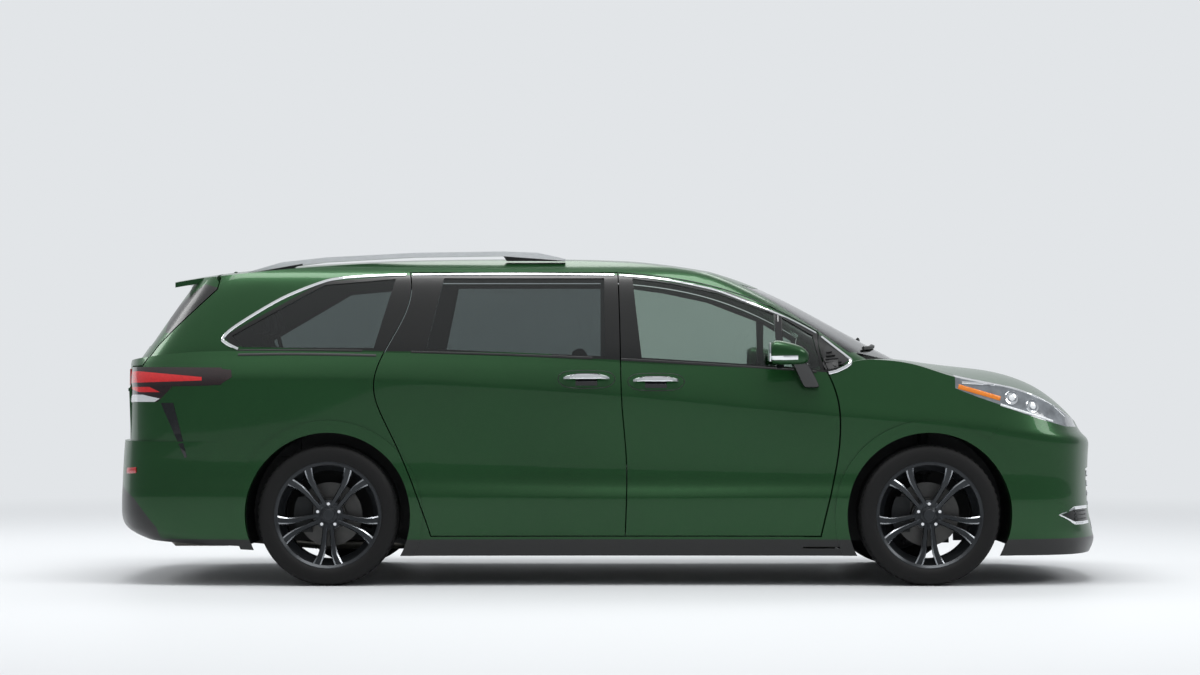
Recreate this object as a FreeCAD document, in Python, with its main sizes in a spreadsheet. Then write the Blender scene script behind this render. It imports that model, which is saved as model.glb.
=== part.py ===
import FreeCAD, Part
import Sketcher
import math
import os
from FreeCAD import Vector

# A family minivan with two hinged front doors, two sliding rear doors and a top-hinged tailgate.
# Frame: origin on the ground at mid length, +X forward, +Y to the left, +Z up. Lengths in millimetres.

doc = FreeCAD.newDocument("minivan")
sheet = doc.addObject("Spreadsheet::Sheet", "Sizes")

SIZES = {
    # whole vehicle
    "body_length": 5175, "body_width": 1994, "roof_height": 1703,
    "wheelbase": 3060, "front_overhang": 964,
    # walls, gaps and clearances
    "door_wall": 112, "pillar_wall": 46, "roof_wall": 38, "hood_wall": 20, "fascia_wall": 46,
    "tail_wall": 140,
    "glass_thickness": 5, "glass_inset": 4, "seat_clearance": 0.3, "panel_gap": 6, "hinge_gap": 8,
    "cut_overrun": 40,
    # wheels
    "tyre_diameter": 718, "tyre_width": 235, "tread_round": 34, "sidewall_bulge": 7, "bead_step": 12,
    "rim_diameter": 545, "rim_width": 216, "rim_wall": 9, "rim_dish": 34, "wheel_track": 1738,
    "hub_diameter": 150, "hub_depth": 45, "spoke_thickness": 26, "spoke_root": 60, "stub_diameter": 56,
    "disc_diameter": 328, "disc_thickness": 28, "disc_offset": 34, "bell_diameter": 170,
    "caliper_depth": 40, "caliper_height": 80, "brake_gap": 5,
    # wheel arches
    "arch_radius": 420, "arch_lip": 62, "arch_bulge": 9, "arch_depth": 445, "liner_radius": 425,
    "liner_wall": 5,
    "flap_width": 225, "flap_drop": 150,
    # steering and running gear
    "kingpin_low": 780, "kingpin_high": 600, "kingpin_foot": 230, "kingpin_top": 1000, "carrier_depth": 42,
    "carrier_radius": 62, "strut_diameter": 54, "clamp_height": 620, "clamp_wall": 9,
    "beam_diameter": 70, "beam_height": 300, "arm_thickness": 34, "arm_length": 480,
    "subframe_length": 330, "subframe_width": 860, "subframe_height": 60, "subframe_bottom": 190,
    "rail_inner": 462, "rail_outer": 546, "side_rail_bottom": 380, "side_rail_height": 110,
    "tower_length": 160,
    "tower_wall": 26, "tower_out": 655,
    # engine and exhaust
    "engine_length": 520, "engine_width": 760, "engine_height": 500, "engine_rear": 1290,
    "pipe_diameter": 60, "pipe_side": 200, "muffler_length": 330, "muffler_width": 420,
    "muffler_height": 130,
    "muffler_rear": 2290, "tail_pipe_side": 640, "tail_pipe_height": 250, "tail_pipe_tip": 2360,
    # front door hinges
    "door_hinge_x": 1045, "door_hinge_y": 948, "door_hinge_low": 430, "door_hinge_high": 818,
    "hinge_height": 46, "hinge_radius": 9, "hinge_pin": 5, "door_flange": 10, "strap_lean": 53,
    "post_side": 832, "post_lean": 35, "fender_edge": 4, "post_length": 90, "post_depth": 60,
    # hood and tailgate hinges
    "hood_hinge_x": 1330, "hood_hinge_z": 1116, "hood_arm": 14, "hood_arm_side": 712, "hood_arm_reach": 190,
    "hood_pin": 6, "cowl_drop": 36,
    "gate_hinge_y": 430, "gate_hinge_x": 1976, "gate_hinge_z": 1608, "gate_arm": 32, "gate_eye": 13,
    "gate_pin": 5,
    "gate_sweep": 73,
    "gate_half_width": 690, "gate_sill": 741, "spoiler_half": 640,
    # floor and cabin
    "floor_bottom": 205, "floor_thickness": 60, "floor_half_width": 820, "rear_floor_rise": 235,
    "rear_floor_front": 960, "firewall_x": 1165, "cowl_half": 690,
    "load_board_length": 400, "load_board_half": 620, "load_board_thickness": 12, "load_board_rear": 2390,
    # seats and controls
    "seat_width": 500, "cushion_length": 510, "cushion_height": 130, "back_height": 560,
    "back_thickness": 110,
    "back_lean": 150, "head_width": 260, "head_height": 180, "seat_round": 30, "pedestal_width": 380,
    "pedestal_height": 170, "front_row_x": 480, "middle_row_x": -430, "rear_row_x": -1490, "seat_side": 370,
    "bench_width": 1080, "hand_wheel_diameter": 375, "hand_wheel_section": 30, "hand_wheel_x": 790,
    "hand_wheel_z": 960, "dash_half_width": 770, "column_diameter": 60,
    # roof rails and mirrors
    "rail_width": 34, "rail_side": 650, "mirror_length": 202, "mirror_width": 135, "mirror_height": 124,
    "mirror_x": 902, "mirror_y": 1062, "mirror_z": 1187, "mirror_round": 42, "mirror_arm_height": 34,
    "mirror_arm_length": 84, "mirror_arm_x": 945,
    # grille
    "grille_set_back": 12, "grille_back": 34, "grille_bar": 18,
}
for row, (alias, value) in enumerate(SIZES.items(), start=1):
    cell = "B%d" % row
    sheet.set("A%d" % row, alias)
    sheet.set(cell, str(value))
    sheet.setAlias(cell, alias)
doc.recompute()


def size(alias):
    """A named size, read from the sheet."""
    return float(sheet.get(alias))


GROWN_POINTS = 12
SHORTEST_RUN_SHARE = 0.2
half_length = size("body_length") / 2
half_width = size("body_width") / 2
roof = size("roof_height")
front_axle = half_length - size("front_overhang")
rear_axle = front_axle - size("wheelbase")
wheel_height = size("tyre_diameter") / 2
wheel_side = size("wheel_track") / 2
overrun = size("cut_overrun")
gap = size("panel_gap")


def knots(count, degree):
    """Multiplicities and values of a clamped, even knot row for that many poles."""
    inner = count - degree - 1
    return [degree + 1] + [1] * inner + [degree + 1], list(range(inner + 2))


def spline_surface(poles, degree_along, degree_across):
    """A smooth surface drawn towards a grid of poles."""
    surface = Part.BSplineSurface()
    mult_along, knots_along = knots(len(poles), degree_along)
    mult_across, knots_across = knots(len(poles[0]), degree_across)
    surface.buildFromPolesMultsKnots(
        poles, mult_along, mult_across, knots_along, knots_across,
        False, False, degree_along, degree_across)
    return surface


def upright(solid):
    """The solid with its faces pointing outwards."""
    if solid.Volume < 0:
        solid.reverse()
    return solid


def half_solid(poles):
    """Right half of a body wrapped by a skin that starts and ends on the centre plane."""
    surface = spline_surface(poles, 3, 2)
    first_u, last_u, first_v, last_v = surface.bounds()
    low = surface.vIso(first_v).toShape()
    high = surface.vIso(last_v).toShape()
    rear = surface.uIso(first_u).toShape()
    front = surface.uIso(last_u).toShape()
    low_line = Part.makeLine(poles[0][0], poles[-1][0])
    high_line = Part.makeLine(poles[0][-1], poles[-1][-1])
    faces = [surface.toShape()]
    for edges in ([low, low_line], [high, high_line], [rear, low_line, front, high_line]):
        faces.append(Part.Face(Part.Wire(Part.sortEdges(edges)[0])))
    shell = Part.Shell(faces)
    shell.sewShape()
    return upright(Part.Solid(shell))


def below_field(poles, depth):
    """All that lies under a gently curved top, down by that depth."""
    face = spline_surface(poles, 3, 3).toShape()
    return upright(face.extrude(Vector(0, 0, -depth)))


def between(position, places, values):
    """The value at a position, straight between the nearest places."""
    for low, high, value_low, value_high in zip(places, places[1:], values, values[1:]):
        if position <= high:
            return value_low + (value_high - value_low) * (position - low) / (high - low)
    return values[-1]


def side_point(along, up):
    return Vector(along * half_length, 0, up * roof)


def plan_point(along, out):
    return Vector(along * half_length, -out * half_width, 0)


def end_point(out, up):
    return Vector(0, -out * half_width, up * roof)


def smooth(view, shares):
    """A smooth curve through points given as shares."""
    curve = Part.BSplineCurve()
    curve.interpolate([view(*pair) for pair in shares])
    return [curve.toShape()]


def straight(view, shares):
    """Straight runs from point to point, given as shares."""
    points = [view(*pair) for pair in shares]
    return [Part.makeLine(start, end) for start, end in zip(points, points[1:])]


def closed_face(edges):
    return Part.Face(Part.Wire(Part.__sortEdges__(edges)))


def grown(face, amount):
    """The outline moved outwards, or inwards for a negative amount, redrawn with plain lines and curves."""
    if amount == 0:
        return face
    moved = face.makeOffset2D(amount, 0, False, False, False)
    runs = []
    for edge in moved.OuterWire.OrderedEdges:
        is_line = isinstance(edge.Curve, (Part.Line, Part.LineSegment))
        points = edge.discretize(2 if is_line else GROWN_POINTS)
        if edge.Length > SHORTEST_RUN_SHARE * size("panel_gap"):
            runs.append(points)
    for index, points in enumerate(runs):
        ahead = runs[(index + 1) % len(runs)]
        near = [ahead[0], ahead[-1]]
        if min(points[0].distanceToPoint(end) for end in near) < min(points[-1].distanceToPoint(end)
            for end in near):
            points.reverse()
    edges = []
    for index, points in enumerate(runs):
        points[0] = runs[index - 1][-1]
        if len(points) == 2:
            edges.append(Part.makeLine(points[0], points[1]))
        else:
            curve = Part.BSplineCurve()
            curve.interpolate(points)
            edges.append(curve.toShape())
    return Part.Face(Part.Wire(edges))


def side_prism(edges, amount=0.0):
    """A side-view outline run from the centre plane out past the right side."""
    face = grown(closed_face(edges), amount)
    return face.extrude(Vector(0, -half_width - overrun, 0))


def plan_prism(edges, amount=0.0):
    """A plan outline run from the ground up past the roof."""
    face = grown(closed_face(edges), amount)
    return face.extrude(Vector(0, 0, roof + overrun))


def end_prism(edges, start, length):
    """An end-view outline run along the vehicle."""
    face = closed_face(edges)
    face.translate(Vector(start, 0, 0))
    return face.extrude(Vector(length, 0, 0))


def block(x_low, x_high, y_low, y_high, z_low, z_high):
    corner = Vector(x_low, y_low, z_low)
    return Part.makeBox(x_high - x_low, y_high - y_low, z_high - z_low, corner)


def both_sides(shape):
    return shape.mirror(Vector(), Vector(0, 1, 0))


def whole(half):
    """A centre piece made of its right half and the mirror of it."""
    return half.fuse(both_sides(half)).removeSplitter()


# Lower body skin: stations round the plan, and rows from the sill up to the belt.
LOWER_PLAN_SHARES = [
    (-1, 0), (-1, 0.35), (-0.985, 0.66), (-0.955, 0.86), (-0.895, 0.955), (-0.8, 0.99),
    (-0.68, 1), (-0.5535, 1.003), (-0.4, 0.997), (-0.22, 0.98), (0, 0.972), (0.22, 0.975),
    (0.42, 0.985), (0.6275, 1), (0.76, 0.985), (0.86, 0.945), (0.925, 0.86), (0.965, 0.7),
    (0.99, 0.48), (1, 0.24), (1, 0)]
ROW_PLACE_SHARES = [-1, -0.46, 0.02, 0.45, 1]
# each row: heights and inward lean at the row places, then reach at nose and tail of body and bumper
LOWER_ROW_SHARES = [
    ([0.088] * 5, [0.075] * 5, 0.98, 0.97, 0.99, 0.9),
    ([0.118] * 5, [0.06] * 5, 0.98, 0.975, 1.0, 0.925),
    ([0.147] * 5, [0.025] * 5, 0.98, 0.984, 0.995, 0.975),
    ([0.18] * 5, [0.012] * 5, 0.98, 0.984, 0.989, 1.0),
    ([0.25, 0.255, 0.255, 0.255, 0.24], [0.0] * 5, 0.98, 0.984, 0.984, 1.0),
    ([0.28, 0.28, 0.27, 0.275, 0.26], [0, 0, 0.002, 0, 0], 0.98, 0.984, 0.984, 0.999),
    ([0.34, 0.33, 0.31, 0.31, 0.32], [0.01, 0.02, 0.045, 0.03, 0], 0.98, 0.984, 0.984, 0.998),
    ([0.42, 0.46, 0.43, 0.4, 0.39], [0.008, 0.016, 0.035, 0.02, 0], 0.98, 0.984, 0.985, 0.995),
    ([0.6, 0.605, 0.56, 0.5, 0.43], [0.01, 0.012, 0.012, 0.01, 0], 0.975, 0.984, 0.988, 0.984),
    ([0.625, 0.625, 0.58, 0.515, 0.455], [0.01, 0.012, 0.012, 0.01, 0], 0.968, 0.984, 0.968, 0.984),
    ([0.65, 0.66, 0.625, 0.56, 0.5], [0.03, 0.035, 0.03, 0.03, 0.02], 0.955, 0.984, 0.955, 0.984),
    ([0.68, 0.7, 0.675, 0.635, 0.56], [0.06, 0.07, 0.065, 0.06, 0.05], 0.95, 0.984, 0.95, 0.984),
    ([0.76] * 5, [0.12] * 5, 0.94, 0.955, 0.94, 0.955)]

# Hood, fender tops and the ledge under the side glass: place, height and crown of the top.
TOP_SHARES = [
    (-1.02, 0.668, 0), (-0.985, 0.671, 0), (-0.86, 0.7, 0), (-0.74, 0.703, 0), (-0.45, 0.7, 0),
    (0.02, 0.675, 0), (0.3, 0.65, 0), (0.43, 0.633, 0), (0.478, 0.686, 0.012), (0.53, 0.69, 0.015),
    (0.6, 0.684, 0.02), (0.67, 0.668, 0.05), (0.74, 0.657, 0.06), (0.8, 0.647, 0.07),
    (0.85, 0.625, 0.085), (0.885, 0.6, 0.095), (0.92, 0.56, 0.11), (0.94, 0.525, 0.1),
    (0.953, 0.49, 0.08), (0.965, 0.462, 0.05), (0.985, 0.43, 0.03), (1.03, 0.41, 0)]
ACROSS_SHARES = [0, 0.3, 0.6, 0.85, 1.08]

# Cabin skin: stations round the plan, and rows from inside the body up to the roof's middle.
UPPER_PLAN_SHARES = [
    (-1, 0), (-1, 0.4), (-0.98, 0.72), (-0.955, 0.9), (-0.9, 0.975), (-0.8, 0.995), (-0.6, 1),
    (-0.3, 1), (0, 1), (0.3, 0.995), (0.55, 0.99), (0.72, 0.975), (0.82, 0.94), (0.875, 0.83),
    (0.93, 0.6), (1, 0.3), (1, 0)]
UPPER_ROW_SHARES = [
    (0.587, 0.94, 0.7, 0.99), (0.657, 0.918, 0.63, 0.975), (0.7, 0.907, 0.57, 0.955),
    (0.78, 0.865, 0.472, 0.92), (0.863, 0.815, 0.372, 0.883), (0.916, 0.774, 0.292, 0.858),
    (0.945, 0.737, 0.236, 0.845), (0.969, 0.672, 0.174, 0.83), (1.01, 0.5, 0.097, 0.81)]
ROOF_SHARES = [
    (-1, 0.9), (-0.876, 0.934), (-0.798, 0.954), (-0.737, 0.964), (-0.608, 0.984), (-0.407, 0.998),
    (-0.218, 1), (-0.094, 1), (0.013, 0.996), (0.078, 0.99), (0.178, 0.97), (0.257, 0.945),
    (0.34, 0.93), (0.5, 0.93), (1, 0.93)]
ROOF_CROWN_SHARE = 0.045


def lower_skin(bulge=0.0, bumper=False):
    """Right half inside the lower skin, let out sideways by a bulge."""
    poles = []
    for along, out in LOWER_PLAN_SHARES:
        column = []
        for heights, leans, nose, tail, bumper_nose, bumper_tail in LOWER_ROW_SHARES:
            reach = (bumper_nose if bumper else nose) if along > 0 else (bumper_tail if bumper else tail)
            up = between(along, ROW_PLACE_SHARES, heights)
            lean = between(along, ROW_PLACE_SHARES, leans)
            side = out * (half_width * (1 - lean) + bulge)
            column.append(Vector(along * reach * half_length, -side, up * roof))
        poles.append(column)
    return half_solid(poles)


def top_field(drop=0.0):
    """All below the hood and the ledge under the glass, let down by a drop."""
    poles = []
    for along, up, crown in TOP_SHARES:
        poles.append([Vector(along * half_length, -out * half_width, (up - crown * out * out) * roof - drop)
                      for out in ACROSS_SHARES])
    return below_field(poles, roof)


def roof_field(drop=0.0):
    poles = []
    for along, up in ROOF_SHARES:
        poles.append([Vector(along * half_length, -out * half_width,
                             (up - ROOF_CROWN_SHARE * out * out) * roof - drop)
                      for out in ACROSS_SHARES])
    return below_field(poles, roof)


def upper_skin(inset=0.0):
    """Right half inside the cabin skin, drawn in by an inset."""
    poles = []
    for along, out in UPPER_PLAN_SHARES:
        column = []
        for up, width, nose, tail in UPPER_ROW_SHARES:
            reach = nose if along > 0 else tail
            draw = along * inset
            side = max(out * (width * half_width - inset), 0)
            column.append(Vector(along * reach * half_length - draw, -side, up * roof))
        poles.append(column)
    return half_solid(poles)


def ring(centre_x, inner, outer, y_low, y_high):
    """A ring about an axle line."""
    start = Vector(centre_x, y_low, wheel_height)
    depth = y_high - y_low
    ring_shape = Part.makeCylinder(outer, depth, start, Vector(0, 1, 0))
    if inner:
        ring_shape = ring_shape.cut(Part.makeCylinder(inner, depth, start, Vector(0, 1, 0)))
    return ring_shape


top = top_field()
body_lower = lower_skin().common(top)
bumper_body = lower_skin(bumper=True).common(top)
cabin_outer = upper_skin().common(roof_field())
flare_skin = lower_skin(bulge=size("arch_bulge"), bumper=True)
arch_reach = size("arch_radius") + size("arch_lip")
flares = []
for axle in (front_axle, rear_axle):
    flare = ring(axle, size("arch_radius"), arch_reach, -half_width - overrun, -half_width * 0.8)
    flares.append(flare.common(flare_skin))
outer = body_lower.fuse(cabin_outer).fuse(flares)
bumper_outer = bumper_body.fuse([flare.common(top) for flare in flares])

# Side-view outlines of the doors, the glass and the seams between panels.
DOOR_SPLIT_SHARES = [(0.029, 0.148), (0.032, 0.288), (0.032, 0.358), (0.023, 0.534), (0.02, 0.675),
    (0.015, 0.941)]
DOOR_TOP_SHARES = [(0.015, 0.941), (0.121, 0.925), (0.215, 0.895), (0.333, 0.827), (0.414, 0.759)]
DOOR_FRONT_SHARES = [
    (0.414, 0.759), (0.43, 0.632), (0.444, 0.577), (0.451, 0.513), (0.448, 0.393), (0.437, 0.301),
    (0.425, 0.224), (0.414, 0.148)]
SLIDE_REAR_SHARES = [
    (-0.4, 0.941), (-0.446, 0.7), (-0.46, 0.648), (-0.465, 0.612), (-0.463, 0.563), (-0.449, 0.506),
    (-0.418, 0.408), (-0.383, 0.28), (-0.353, 0.148)]
FRONT_GLASS_SHARES = [(0.062, 0.682), (0.044, 0.924), (0.121, 0.908), (0.215, 0.878), (0.325, 0.815),
    (0.331, 0.657)]
PANE_GLASS_SHARES = [(0.343, 0.656), (0.341, 0.804), (0.402, 0.75), (0.416, 0.645)]
SLIDE_GLASS_SHARES = [(-0.364, 0.709), (-0.332, 0.924), (-0.012, 0.924), (-0.01, 0.686)]
QUARTER_GLASS_SHARES = [
    (-0.728, 0.713), (-0.75, 0.747), (-0.57, 0.903), (-0.428, 0.922), (-0.468, 0.711)]
SAIL_SHARES = [(0.44, 0.645), (0.424, 0.74), (0.472, 0.678)]
FENDER_SHARES = [
    (0.38, 0.11), (0.38, 0.632), (0.43, 0.632), (0.476, 0.68), (0.5, 0.705), (0.82, 0.705),
    (0.82, 0.56), (0.793, 0.514), (0.727, 0.414), (0.6275, 0.211), (0.6275, 0.11)]
FRONT_BUMPER_SHARES = [
    (0.6275, 0.05), (0.6275, 0.211), (0.727, 0.414), (0.793, 0.514), (0.82, 0.56), (0.82, 0.705),
    (1.05, 0.705), (1.05, 0.05)]
REAR_BUMPER_SHARES = [
    (-0.5548, 0.05), (-0.5548, 0.211), (-0.68, 0.373), (-0.73, 0.421), (-0.79, 0.43), (-1.05, 0.432),
    (-1.05, 0.05)]
LAMP_SHARES = [
    (0.68, 0.59), (0.72, 0.566), (0.77, 0.54), (0.81, 0.517), (0.85, 0.497), (0.905, 0.475), (0.96, 0.47),
    (0.96, 0.62), (0.68, 0.64)]
TAIL_LAMP_SHARES = [
    (-0.765, 0.652), (-0.765, 0.6), (-0.865, 0.596), (-0.895, 0.549), (-1.05, 0.549), (-1.05, 0.655)]
GATE_SEAM_SHARES = [
    (-0.788, 1.01), (-0.79, 0.945), (-0.78, 0.925), (-0.785, 0.89), (-0.868, 0.77), (-0.9, 0.72),
    (-0.93, 0.657), (-1.05, 0.655), (-1.05, 1.01)]
# Plan outlines, from the centre plane outwards.
HEADER_SHARES = [(0.31, -0.02), (0.303, 0.35), (0.262, 0.66), (0.24, 0.72)]
COWL_SHARES = [(0.598, -0.02), (0.575, 0.4), (0.515, 0.7), (0.47, 0.84)]
HOOD_REAR_SHARES = [(0.62, -0.02), (0.597, 0.4), (0.54, 0.7), (0.524, 0.795)]
HOOD_SIDE_SHARES = [
    (0.524, 0.795), (0.58, 0.815), (0.672, 0.832), (0.775, 0.848), (0.833, 0.825), (0.877, 0.775),
    (0.904, 0.715), (0.93, 0.6), (0.948, 0.4), (0.958, 0.2), (0.961, -0.02)]
WINDSHIELD_SHARES = [
    (-0.02, 0.6), (0.84, 0.66), (0.825, 0.7), (0.755, 0.79), (0.69, 0.88), (0.645, 0.935), (-0.02, 0.98)]
REAR_GLASS_SHARES = [(-0.02, 0.715), (0.64, 0.72), (0.66, 0.735), (0.575, 0.885), (0.55, 0.9),
    (-0.02, 0.905)]
ROOF_HALF_SHARE = 0.655
LAMP_INNER_SHARE = 0.6
BELT_SHARE = 0.68
HOLLOW_REACH_SHARE = 0.967
HOLLOW_SIDE_SHARE = 0.987
CABIN_FRONT_SHARE = 0.76
SHELF_SHARE = 0.66


def loop(view, shares):
    """A closed outline of straight runs."""
    return straight(view, shares + shares[:1])


def front_door_edges():
    sill = straight(side_point, [DOOR_FRONT_SHARES[-1], DOOR_SPLIT_SHARES[0]])
    return (smooth(side_point, DOOR_SPLIT_SHARES) + smooth(side_point, DOOR_TOP_SHARES)
            + smooth(side_point, DOOR_FRONT_SHARES) + sill)


def slide_door_edges():
    head = straight(side_point, [DOOR_SPLIT_SHARES[-1], SLIDE_REAR_SHARES[0]])
    sill = straight(side_point, [SLIDE_REAR_SHARES[-1], DOOR_SPLIT_SHARES[0]])
    return smooth(side_point, DOOR_SPLIT_SHARES) + head + smooth(side_point, SLIDE_REAR_SHARES) + sill


def door_opening_edges():
    """One outline round both doors of a side."""
    sill = straight(side_point, [DOOR_FRONT_SHARES[-1], SLIDE_REAR_SHARES[-1]])
    head = straight(side_point, [SLIDE_REAR_SHARES[0], DOOR_TOP_SHARES[0]])
    return (smooth(side_point, DOOR_TOP_SHARES) + smooth(side_point, DOOR_FRONT_SHARES) + sill
            + smooth(side_point, SLIDE_REAR_SHARES) + head)


def hood_edges():
    centre = straight(plan_point, [HOOD_SIDE_SHARES[-1], HOOD_REAR_SHARES[0]])
    return smooth(plan_point, HOOD_REAR_SHARES) + smooth(plan_point, HOOD_SIDE_SHARES) + centre


def header_edges(reach_share):
    """The plan region behind (or ahead of) the line where roof and windshield meet."""
    corners = [HEADER_SHARES[-1], (HEADER_SHARES[-1][0], 1.2), (reach_share, 1.2), (reach_share, -0.02),
               HEADER_SHARES[0]]
    return smooth(plan_point, HEADER_SHARES) + straight(plan_point, corners)


def cowl_edges(reach_share):
    corners = [COWL_SHARES[-1], (COWL_SHARES[-1][0], 1.2), (reach_share, 1.2), (reach_share, -0.02),
               COWL_SHARES[0]]
    return smooth(plan_point, COWL_SHARES) + straight(plan_point, corners)


half_gap = gap / 2
seat = size("seat_clearance")
door_opening = side_prism(door_opening_edges(), half_gap)
hood_cut = plan_prism(hood_edges(), half_gap)
arch_cut = [ring(axle, 0, size("arch_radius"), -half_width - overrun, -half_width + size("arch_depth"))
            for axle in (front_axle, rear_axle)]

# Hollow spaces: the cabin below and above the belt, and the thin-walled nose and tail.
cabin_rear = -half_length + size("tail_wall")
cabin_side = half_width - size("door_wall")
floor_top = size("floor_bottom") + size("floor_thickness")
cabin_front = block(-half_length * CABIN_FRONT_SHARE, size("firewall_x"), -cabin_side, overrun, 0,
    roof * BELT_SHARE)
cabin_high = upper_skin(size("pillar_wall")).common(roof_field(size("roof_wall")))
cabin_high = cabin_high.cut(block(-half_length * 2, half_length * 2, -half_width * 2, overrun, 0,
    roof * SHELF_SHARE))
hollow_rows = [([0.02] * 5, [0.0] * 5), ([0.4] * 5, [0.0] * 5)] + [row[:2] for row in LOWER_ROW_SHARES[8:]]
hollow_poles = []
for along, out in LOWER_PLAN_SHARES:
    column = []
    for heights, leans in hollow_rows:
        up = between(along, ROW_PLACE_SHARES, heights)
        lean = between(along, ROW_PLACE_SHARES, leans)
        column.append(Vector(along * (half_length * HOLLOW_REACH_SHARE - size("fascia_wall")),
                             -out * (half_width * (HOLLOW_SIDE_SHARE - lean) - size("fascia_wall")),
                             up * roof))
    hollow_poles.append(column)
hollow = half_solid(hollow_poles)
nose_hollow = hollow.common(top_field(size("hood_wall")))
cabin_tail = block(cabin_rear, -half_length * CABIN_FRONT_SHARE + overrun, -cabin_side, overrun, 0,
    roof * BELT_SHARE)
cabin = cabin_front.fuse([cabin_tail.common(hollow), cabin_high])



pieces = {}
HOOD_ARM_SHARE = 0.32
SPOILER_SHARES = (0.81, 0.876)
COLUMN_TILT = math.radians(24)
GRILLE_SHARES = [(-0.02, 0.2), (0.5, 0.2), (0.59, 0.27), (0.62, 0.345), (-0.02, 0.355)]
GRILLE_BAR_SHARES = [0.235, 0.265, 0.295, 0.325]


def grille_prism(amount=0.0):
    """The grille's opening as seen from ahead, run through the nose."""
    face = grown(closed_face(loop(end_point, GRILLE_SHARES)), amount)
    face.translate(Vector(half_length * 0.8, 0, 0))
    return face.extrude(Vector(half_length * 0.3, 0, 0))


def main_solid(shape):
    """The largest solid of a cut, with slivers left out."""
    return max(shape.Solids, key=lambda solid: solid.Volume)


def rod(radius, start, end):
    direction = end - start
    return Part.makeCylinder(radius, direction.Length, start, direction)


def plate(points, direction):
    """A flat polygon run along a direction."""
    return upright(Part.Face(Part.makePolygon(points + points[:1])).extrude(direction))


# Seams shared by the panels.
fender_prism = side_prism(loop(side_point, FENDER_SHARES))
front_bumper_prism = side_prism(loop(side_point, FRONT_BUMPER_SHARES))
rear_bumper_prism = side_prism(loop(side_point, REAR_BUMPER_SHARES))
lamp_prism = side_prism(loop(side_point, LAMP_SHARES)).common(
    block(0, half_length, -half_width - overrun, -half_width * LAMP_INNER_SHARE, 0, roof))
tail_lamp_prism = side_prism(loop(side_point, TAIL_LAMP_SHARES))
windshield_cut = end_prism(loop(end_point, WINDSHIELD_SHARES), roof * 0, half_length)
windshield_cut = windshield_cut.common(plan_prism(header_edges(1.0)))
windshield_cut = windshield_cut.common(plan_prism(cowl_edges(0.2)))
cowl_strip = plan_prism(cowl_edges(1.0)).common(block(0, half_length, -half_width * 0.8, 0, 0, roof))
roof_cut = plan_prism(header_edges(-1.0)).common(
    block(-half_length, half_length, -half_width * ROOF_HALF_SHARE, 0, roof * 0.85, roof * 1.1))
gate_half = size("gate_half_width")
gate_low = block(-half_length * 1.1, cabin_rear, -gate_half, 0, size("gate_sill"), roof * BELT_SHARE)
gate_region = side_prism(loop(side_point, GATE_SEAM_SHARES), -half_gap).fuse(gate_low)
gate_cut = side_prism(loop(side_point, GATE_SEAM_SHARES), half_gap).fuse(
    block(-half_length * 1.1, cabin_rear + gap, -gate_half - gap, 0, size("gate_sill") - gap,
    roof * BELT_SHARE))
hinge_x = size("door_hinge_x")
hinge_y = -size("door_hinge_y")
door_reach = 0.453 * half_length - hinge_x
swing_room = Part.makeCylinder(door_reach + gap * 1.5, roof * 0.55, Vector(hinge_x, hinge_y, roof * 0.1))
swing_room = swing_room.common(lower_skin(bulge=-size("fender_edge")))


def door_hinge(height):
    """Pin, strap and foot of the body's half of a front door hinge, at that height."""
    pin_base = Vector(hinge_x, hinge_y, height - size("hinge_height") / 2)
    half_height = size("hinge_height") / 2
    hub = Part.makeCylinder(size("hinge_radius"), half_height - seat, pin_base)
    pin = Part.makeCylinder(size("hinge_pin"), half_height * 2, pin_base)
    foot = Vector(hinge_x + size("strap_lean"), -size("post_side") + seat, pin_base.z)
    reach = foot - pin_base
    side = Vector(reach.y, -reach.x, 0).normalize() * (size("hinge_pin"))
    strap = plate([pin_base + side, pin_base - side, foot - side, foot + side],
        Vector(0, 0, half_height - seat))
    return hub.fuse([pin, strap])


def front_door_right():
    shape = outer.common(side_prism(front_door_edges(), -half_gap))
    thin_front = lower_skin(bulge=-size("door_flange")).common(block(
        hinge_x - size("hinge_pin"), half_length, -half_width, 0, 0, roof * 0.63))
    shape = shape.cut([cabin, front_glass_cut, pane_glass_cut, thin_front])
    knuckles = []
    for height in (size("door_hinge_low"), size("door_hinge_high")):
        base = Vector(hinge_x, hinge_y, height - size("hinge_height") / 2 - gap)
        pocket = Part.makeCylinder(size("hinge_radius") + gap, size("hinge_height") / 2 + gap, base)
        shape = shape.cut(pocket)
        knuckle = Part.makeCylinder(size("hinge_radius"), size("hinge_height") / 2 + gap,
            Vector(hinge_x, hinge_y, height))
        knuckles.append(knuckle)
    shape = shape.fuse(knuckles)
    bores = [Part.makeCylinder(size("hinge_pin") + seat, size("hinge_height") * 2, Vector(
        hinge_x, hinge_y, height - size("hinge_height"))) for height in (size("door_hinge_low"),
        size("door_hinge_high"))]
    return main_solid(shape.cut(bores))


front_glass_cut = side_prism(loop(side_point, FRONT_GLASS_SHARES))
pane_glass_cut = side_prism(loop(side_point, PANE_GLASS_SHARES))
slide_glass_cut = side_prism(loop(side_point, SLIDE_GLASS_SHARES))
quarter_glass_cut = side_prism(loop(side_point, QUARTER_GLASS_SHARES))
rear_glass_cut = end_prism(loop(end_point, REAR_GLASS_SHARES), -half_length * 1.1, half_length * 0.35)
glass_near = size("glass_inset")
glass_skin = upper_skin(glass_near).cut(upper_skin(glass_near + size("glass_thickness")))


def pane(shares, amount=-seat):
    """Glass that fills a side opening, just clear of its frame."""
    return main_solid(glass_skin.common(side_prism(loop(side_point, shares), amount)))


pieces["front_door_right"] = front_door_right()
slide_door = outer.common(side_prism(slide_door_edges(), -half_gap))
pieces["slide_door_right"] = main_solid(slide_door.cut([cabin, slide_glass_cut]))

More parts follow.
